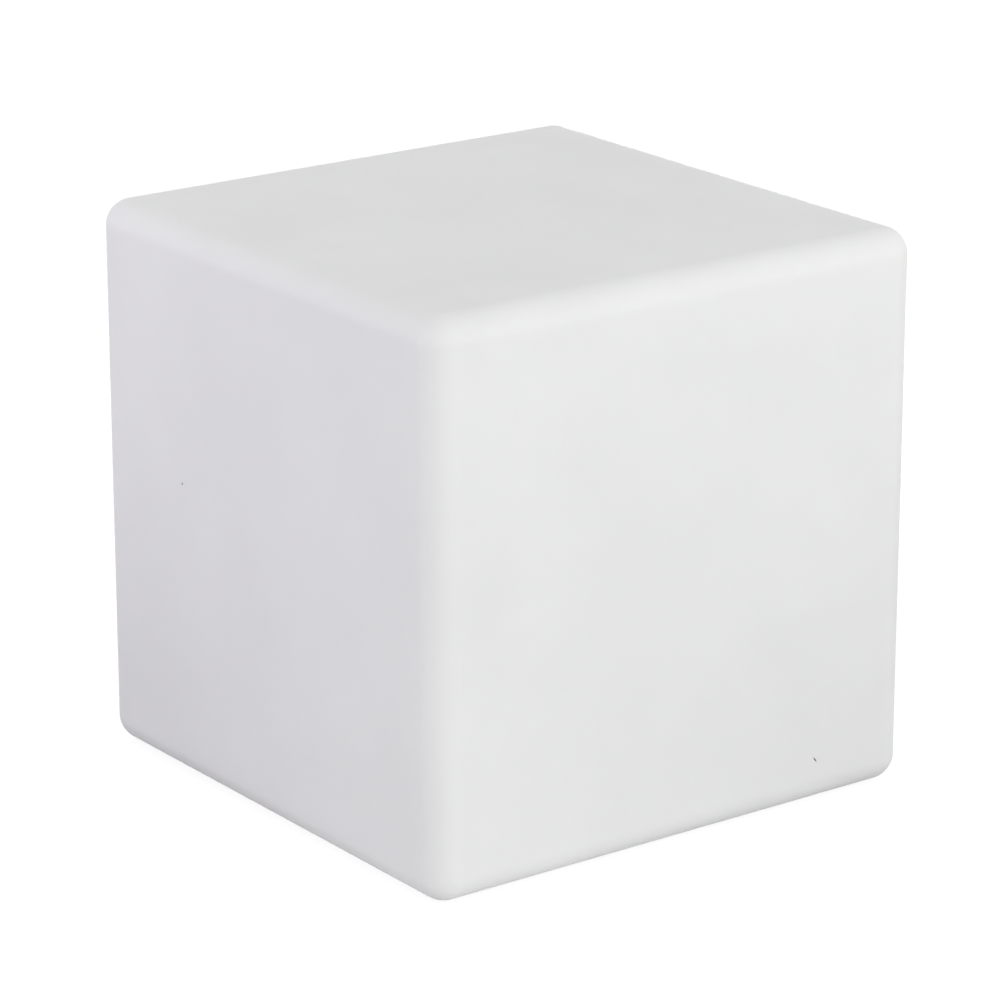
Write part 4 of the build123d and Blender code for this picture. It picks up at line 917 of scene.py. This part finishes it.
# %% Lathed shapes
def lathed(profile, centre, steps=16, lying=False):
    """Rings of points from pairs of radius and height, upright or lying along X."""
    rings = []
    for radius, height in profile:
        ring = []
        for step in range(steps):
            angle = 2 * math.pi * step / steps
            a, b = radius * math.cos(angle), radius * math.sin(angle)
            ring.append(Vector(centre) + (Vector((height, a, b)) if lying else Vector((a, b, height))))
        rings.append(ring)
    return rings


def on_cube(name, stacks, finish):
    """A rigid detail that moves with the cube, made from stacks of rings."""
    piece = ring_mesh(name, stacks)
    piece.data.materials.append(finish)
    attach(piece, "cube")
    soften(piece)
    print(name, len(piece.data.polygons), "faces")


# %% [markdown]
# Each LED has a round well with phosphor gel in it, a little hollow in the middle because the
# gel shrinks as it sets. It is the gel that looks yellow while the light is off.

# %% LED gel
LED_CIRCLES = (  # radius, how many, degrees to the first one
    (30 * MM, 12, 15.0),
    (14 * MM, 6, 0.0),
)
GEL_RADIUS = 1.97 * MM
GEL_DEPTH = 0.24 * MM
GEL = [  # radius, and height from the LED's top
    (0, -GEL_DEPTH), (GEL_RADIUS, -GEL_DEPTH), (GEL_RADIUS, -0.03 * MM),
    (0.5 * GEL_RADIUS, -0.08 * MM), (0, -0.09 * MM),
]
GEL_YELLOWS = (0.80, 0.66, 0.16), (0.90, 0.80, 0.36)

led_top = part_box("leds")[1].z
led_places = []
for radius, count, start in LED_CIRCLES:
    for step in range(count):
        angle = math.radians(start + 360 * step / count)
        led_places.append((radius * math.cos(angle), radius * math.sin(angle), led_top))


def phosphor_gel():
    """Yellow gel with fine powder in it."""
    material, tree, shader, place = new_finish(
        "phosphor_gel", 0.15, Subsurface_Weight=0.6, Subsurface_Scale=0.4 * MM, Coat_Weight=0.4)
    powder = noise(tree, place, 0.12 * MM, detail=3.0)
    fill(tree, shader, Base_Color=ramp(tree, powder, *GEL_YELLOWS, 0.35, 0.65))
    bump(tree, shader, powder, 0.003 * MM)
    return material


on_cube("led_gel", [lathed(GEL, place, 20) for place in led_places], phosphor_gel())

# %% [markdown]
# Two of the chips stand on gull-wing legs: out from half the chip's height, down, and out
# again along the board. A leg is a small rectangle carried along that path.

# %% Chip legs
board_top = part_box("control_board")[1].z
LEG_PITCH = 1.27 * MM
LEG_WIDTH = 0.4 * MM
LEG_THICKNESS = 0.16 * MM
LEGGED_CHIPS = (  # middle x, middle y, half its width, legs on each side
    (2 * MM, 10 * MM, 2 * MM, 7),
    (2 * MM, -13 * MM, 2 * MM, 3),
)
LEG_PATH = (  # out from the chip's side, and above the board
    (-0.1 * MM, 0.8 * MM), (0.35 * MM, 0.8 * MM), (0.55 * MM, 0.7 * MM), (0.65 * MM, 0.12 * MM),
    (0.8 * MM, 0.08 * MM), (1.2 * MM, 0.08 * MM),
)


def capped(rings):
    """The same rings with a ring of no width at each end, which closes the shape."""
    first, last = [[sum(ring, Vector()) / len(ring)] * len(ring) for ring in (rings[0], rings[-1])]
    return [first, *rings, last]


def leg(x, y, side):
    """Rings of a chip leg that leaves towards +Y or -Y."""
    half, thick = LEG_WIDTH / 2, LEG_THICKNESS / 2
    corners = ((-half, -thick), (half, -thick), (half, thick), (-half, thick))
    path = [(y + side * out, board_top + up) for out, up in LEG_PATH]
    return capped([[Vector((x + a, at, up + b)) for a, b in corners] for at, up in path])


legs = []
for x, y, half_width, count in LEGGED_CHIPS:
    for step in range(count):
        along = x + (step - (count - 1) / 2) * LEG_PITCH
        legs += [leg(along, y + half_width, 1), leg(along, y - half_width, -1)]
on_cube("chip_legs", legs, nickel)

# %% [markdown]
# Solder draws up round a pin into a cone with a hollow flank. Three of them hold the charging
# jack. The nickel strips are spot welded to the cells: each cell has four spots on each end.

# %% Solder and weld spots
SOLDER = [  # radius, and height over the board
    (0, 0), (0.95 * MM, 0), (0.8 * MM, 0.15 * MM), (0.42 * MM, 0.5 * MM), (0.3 * MM, 1.0 * MM),
    (0, 1.05 * MM),
]
JACK_PIN_X = 22.6 * MM
JACK_PIN_YS = (-4.2 * MM, 0.0, 4.2 * MM)
cones = [lathed(SOLDER, (JACK_PIN_X, y, board_top)) for y in JACK_PIN_YS]
on_cube("board_solder", cones, nickel)

WELD = [(0, 0), (0.65 * MM, 0), (0.55 * MM, 0.06 * MM), (0.35 * MM, 0.03 * MM), (0, 0.03 * MM)]
WELD_OFFSET = 2.2 * MM
tabs_low, tabs_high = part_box("battery_tabs")
welds = []
for end, way in ((tabs_high.x, 1), (tabs_low.x, -1)):
    profile = [(radius, way * height) for radius, height in WELD]
    for row in (-CELL_AXIS_Y, CELL_AXIS_Y):
        for up in (-WELD_OFFSET, WELD_OFFSET):
            for across in (-WELD_OFFSET, WELD_OFFSET):
                welds.append(lathed(profile, (end, row + across, CELL_AXIS_Z + up), 12, lying=True))
on_cube("weld_spots", welds, nickel)

# %% [markdown]
# ## The plug's strap
#
# The real plug, its strap and its anchor are one soft moulding, and the strap bends where it
# leaves the cover. CAD turns the plug about that line and leaves a slit of 0.3 mm there, so
# that the two solids stay apart. A soft web fills the slit. A real strap stretches on one
# side and folds on the other while the plug swings; this web is a plain mesh, fixed in place.

# %% Strap web
plug_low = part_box("port_plug")[0]
STRAP_WIDTH = 6.0 * MM
STRAP_THICKNESS = 2.2 * MM
WEB_INSET = 0.05 * MM            # the web lies this much inside the strap's faces
WEB_CORNER = 0.35 * MM
WEB_REACH = 1.7 * MM             # how far it reaches to each side of the bend
WEB_STEPS = 16
WEB_SHARP_ANGLE = 50.0
BEND_X = plug_low.x + STRAP_THICKNESS / 2
BEND_Z = plug_low.z + STRAP_THICKNESS / 2


def web_rings():
    """Rounded rectangles side by side across the bend."""
    flat_y = STRAP_WIDTH / 2 - WEB_INSET - WEB_CORNER
    flat_z = STRAP_THICKNESS / 2 - WEB_INSET - WEB_CORNER
    rings = []
    for step in range(WEB_STEPS + 1):
        x = BEND_X + WEB_REACH * (2 * step / WEB_STEPS - 1)
        ring = []
        for a, b in ((1, 1), (-1, 1), (-1, -1), (1, -1)):
            for degrees in (0, 45, 90):
                angle = math.radians(degrees if a * b > 0 else 90 - degrees)
                y = a * (flat_y + WEB_CORNER * math.cos(angle))
                z = BEND_Z + b * (flat_z + WEB_CORNER * math.sin(angle))
                ring.append(Vector((x, y, z)))
        rings.append(ring)
    return capped(rings)


web = ring_mesh("strap_web", [web_rings()])
web.data.materials.append(grey_rubber)
web.data.shade_smooth()
web.data.set_sharp_from_angle(angle=math.radians(WEB_SHARP_ANGLE))
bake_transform(web)
print("strap web:", len(web.data.polygons), "faces, bends at x", round(BEND_X, 4))

# %% [markdown]
# ## A plain studio
#
# The cube stands on a pale floor in soft light. To the camera the floor and the world behind
# it are white, whatever the lamps do, but the floor still takes the cube's soft shadow: its
# shader gives the camera a steady white glow plus a little of the light that really falls
# on it. To all other rays it is a pale floor that bounces light back, but less from two
# patches of painted shade beside the cube, so the side faces darken towards their lower outer
# corners. Where the cube covers it the floor has a window, so that light reaches the base from below.

# %% What the camera sees, and what the light sees
def camera_or_mirror(tree):
    """1 for rays that come from the camera or pass by way of gloss or glass."""
    path = add(tree, "LightPath").outputs
    direct = maths(tree, "MAXIMUM", path["Is Camera Ray"], path["Is Glossy Ray"])
    return maths(tree, "MAXIMUM", direct, path["Is Transmission Ray"])


def either(tree, factor, first, second):
    """The first shader where the factor is 0, and the second where it is 1."""
    return add(tree, "MixShader", values=[factor, first.outputs[0], second.outputs[0]])


# %% Floor
FLOOR_SIDE = 12.0
FLOOR_DROP = 0.3 * MM            # keeps the floor clear of the rim that stands on it
WINDOW_HALF = FLAT - 1 * MM      # half width of the window under the cube
CAMERA_GLOW = 0.88               # steady white that the camera sees
SHADOW_GREY = (0.20, 0.20, 0.20)         # what the camera sees of the light on the floor
BOUNCE = 0.75                    # share of the light that the floor gives back
PAINTED_SHADE_BOUNCE = 0.35               # the same in the middle of a patch of painted shade
# middles of two patches of painted shade on the floor, which give back less light so the side faces darken
# low down
PAINTED_SHADE_PATCHES = ((-0.36, 0.18, 0), (0.24, -0.46, 0))
PAINTED_SHADE_REACH = (0.12, 0.42)        # a patch's painted shade is deepest up to the first distance, and ends at the second


def floor_finish():
    """White to the camera with the cube's shadow in it, and clear from underneath."""
    material = bpy.data.materials.new("studio_floor")
    material.use_nodes = True
    tree = material.node_tree
    tree.nodes.remove(tree.nodes["Principled BSDF"])
    place = add(tree, "TexCoord").outputs["Object"]
    # painted shade: the floor gives back less light near two patches beside the cube
    reaches = [distance(tree, place, patch, squeeze=(1, 1, 0)) for patch in PAINTED_SHADE_PATCHES]
    share = span(tree, maths(tree, "MINIMUM", *reaches), 0.0, 1.0, *PAINTED_SHADE_REACH)
    bounce = add(tree, "BsdfDiffuse", Color=ramp(tree, share, (PAINTED_SHADE_BOUNCE,) * 3, (BOUNCE,) * 3))
    shadow = add(tree, "BsdfDiffuse", Color=SHADOW_GREY)
    glow = add(tree, "Emission", Color=(1, 1, 1), Strength=CAMERA_GLOW)
    white = add(tree, "AddShader", values=[shadow.outputs[0], glow.outputs[0]])
    seen = either(tree, camera_or_mirror(tree), bounce, white)
    underneath = add(tree, "NewGeometry").outputs["Backfacing"]
    below = either(tree, underneath, seen, add(tree, "BsdfTransparent"))
    fill(tree, tree.nodes["Material Output"], Surface=below.outputs[0])
    return material


def floor():
    """A large square with a square window under the cube."""
    corners = [(x * side, y * side, -FLOOR_DROP) for side in (FLOOR_SIDE / 2, WINDOW_HALF)
               for x, y in ((-1, -1), (1, -1), (1, 1), (-1, 1))]
    strips = [(i, (i + 1) % 4, 4 + (i + 1) % 4, 4 + i) for i in range(4)]
    data = bpy.data.meshes.new("floor")
    data.from_pydata(corners, [], strips)
    data.materials.append(floor_finish())
    made = bpy.data.objects.new("floor", data)
    bpy.context.scene.collection.objects.link(made)


floor()
print("floor", FLOOR_SIDE, "m wide, window", round(2 * WINDOW_HALF, 4))

# %% [markdown]
# The world is the large soft light: even and white. Square lamps stand round the cube, low
# down, so that they light the side faces and hardly the top, and no bright line shows along
# the top edges: two broad ones in front, a small one close to the right of the front corner,
# a small one behind on the left, which puts a trace of lilac on the left side, and one
# behind on the right for the two faces that the camera doesn't see. That last one stays
# below the level of the top, where it would glare.

# %% World
WORLD_LIGHT = 0.775


def world():
    """White to the camera, and a soft even light to everything else."""
    made = bpy.data.worlds.new("studio_world")
    made.use_nodes = True
    tree = made.node_tree
    light = tree.nodes["Background"]
    fill(tree, light, Color=(1, 1, 1), Strength=WORLD_LIGHT)
    white = add(tree, "Background", Color=(1, 1, 1), Strength=1.0)
    seen = either(tree, camera_or_mirror(tree), light, white)
    fill(tree, tree.nodes["World Output"], Surface=seen.outputs[0])
    bpy.context.scene.world = made


world()
print("world light:", WORLD_LIGHT)

# %% Soft lamps
NEUTRAL = (1, 1, 1)
LILAC = (0.84, 0.75, 1.0)
FAR = (4.0, 3.0, 2.6)            # distance from the cube's middle, degrees over it, width
CLOSE = (1.3, 3.0, 0.8)
BEHIND = (1.3, -0.5, 0.38)
LAMPS = [  # name, degrees round the cube from straight in front, stand, watts, colour
    ("front_softbox", 0.0, FAR, 26.0, NEUTRAL),
    ("left_softbox", -30.0, FAR, 36.0, NEUTRAL),
    ("right_softbox", 30.0, CLOSE, 1.87, NEUTRAL),
    ("back_left_softbox", -120.0, CLOSE, 2.4, LILAC),
    ("back_right_softbox", 135.0, BEHIND, 4.5, NEUTRAL),
]
CUBE_MIDDLE = Vector((0, 0, TOP / 2))


def place_round(azimuth, elevation, away):
    """Place at a distance from the cube's middle, in degrees round it and over it."""
    a, e = math.radians(azimuth), math.radians(elevation)
    way = Vector((math.sin(a) * math.cos(e), -math.cos(a) * math.cos(e), math.sin(e)))
    return CUBE_MIDDLE + way * away


def look_at(made, aim):
    """Turns a lamp or a camera towards a point."""
    made.rotation_euler = (aim - made.location).to_track_quat("-Z", "Y").to_euler()


def softbox(name, azimuth, stand, watts, colour):
    """Square area lamp that faces the cube and isn't seen itself."""
    away, elevation, width = stand
    lamp = bpy.data.lights.new(name, "AREA")
    lamp.size = width
    lamp.energy = watts
    lamp.color = colour
    made = bpy.data.objects.new(name, lamp)
    made.location = place_round(azimuth, elevation, away)
    look_at(made, CUBE_MIDDLE)
    made.visible_camera = False
    bpy.context.scene.collection.objects.link(made)


for lamp_setting in LAMPS:
    softbox(*lamp_setting)
print("lamps:", len(LAMPS))

# %% [markdown]
# ## Camera
#
# The camera stands about three metres away with a long lens, a little above the cube and
# round to its left, so the front right face is broad and the edges converge only slightly.

# %% Camera
CAMERA_AZIMUTH = -36.44          # degrees round the cube, from straight in front
CAMERA_ELEVATION = 17.88
CAMERA_DISTANCE = 3.1126         # from the cube's middle
CAMERA_AIM = Vector((-0.0021, -0.0013, 0.1909))
IMAGE_SIDE = 1001                # the image is square, in pixels
FOCAL_PIXELS = 4500.0            # focal length, in pixels of that image
SENSOR = 36.0

camera = bpy.data.objects.new("camera", bpy.data.cameras.new("camera"))
camera.data.sensor_width = SENSOR
camera.data.lens = FOCAL_PIXELS / IMAGE_SIDE * SENSOR
camera.location = place_round(CAMERA_AZIMUTH, CAMERA_ELEVATION, CAMERA_DISTANCE)
look_at(camera, CAMERA_AIM)
bpy.context.scene.collection.objects.link(camera)
bpy.context.scene.camera = camera
bpy.context.scene.view_settings.view_transform = "Standard"
print("camera at", tuple(round(v, 3) for v in camera.location), "lens", round(camera.data.lens, 1))
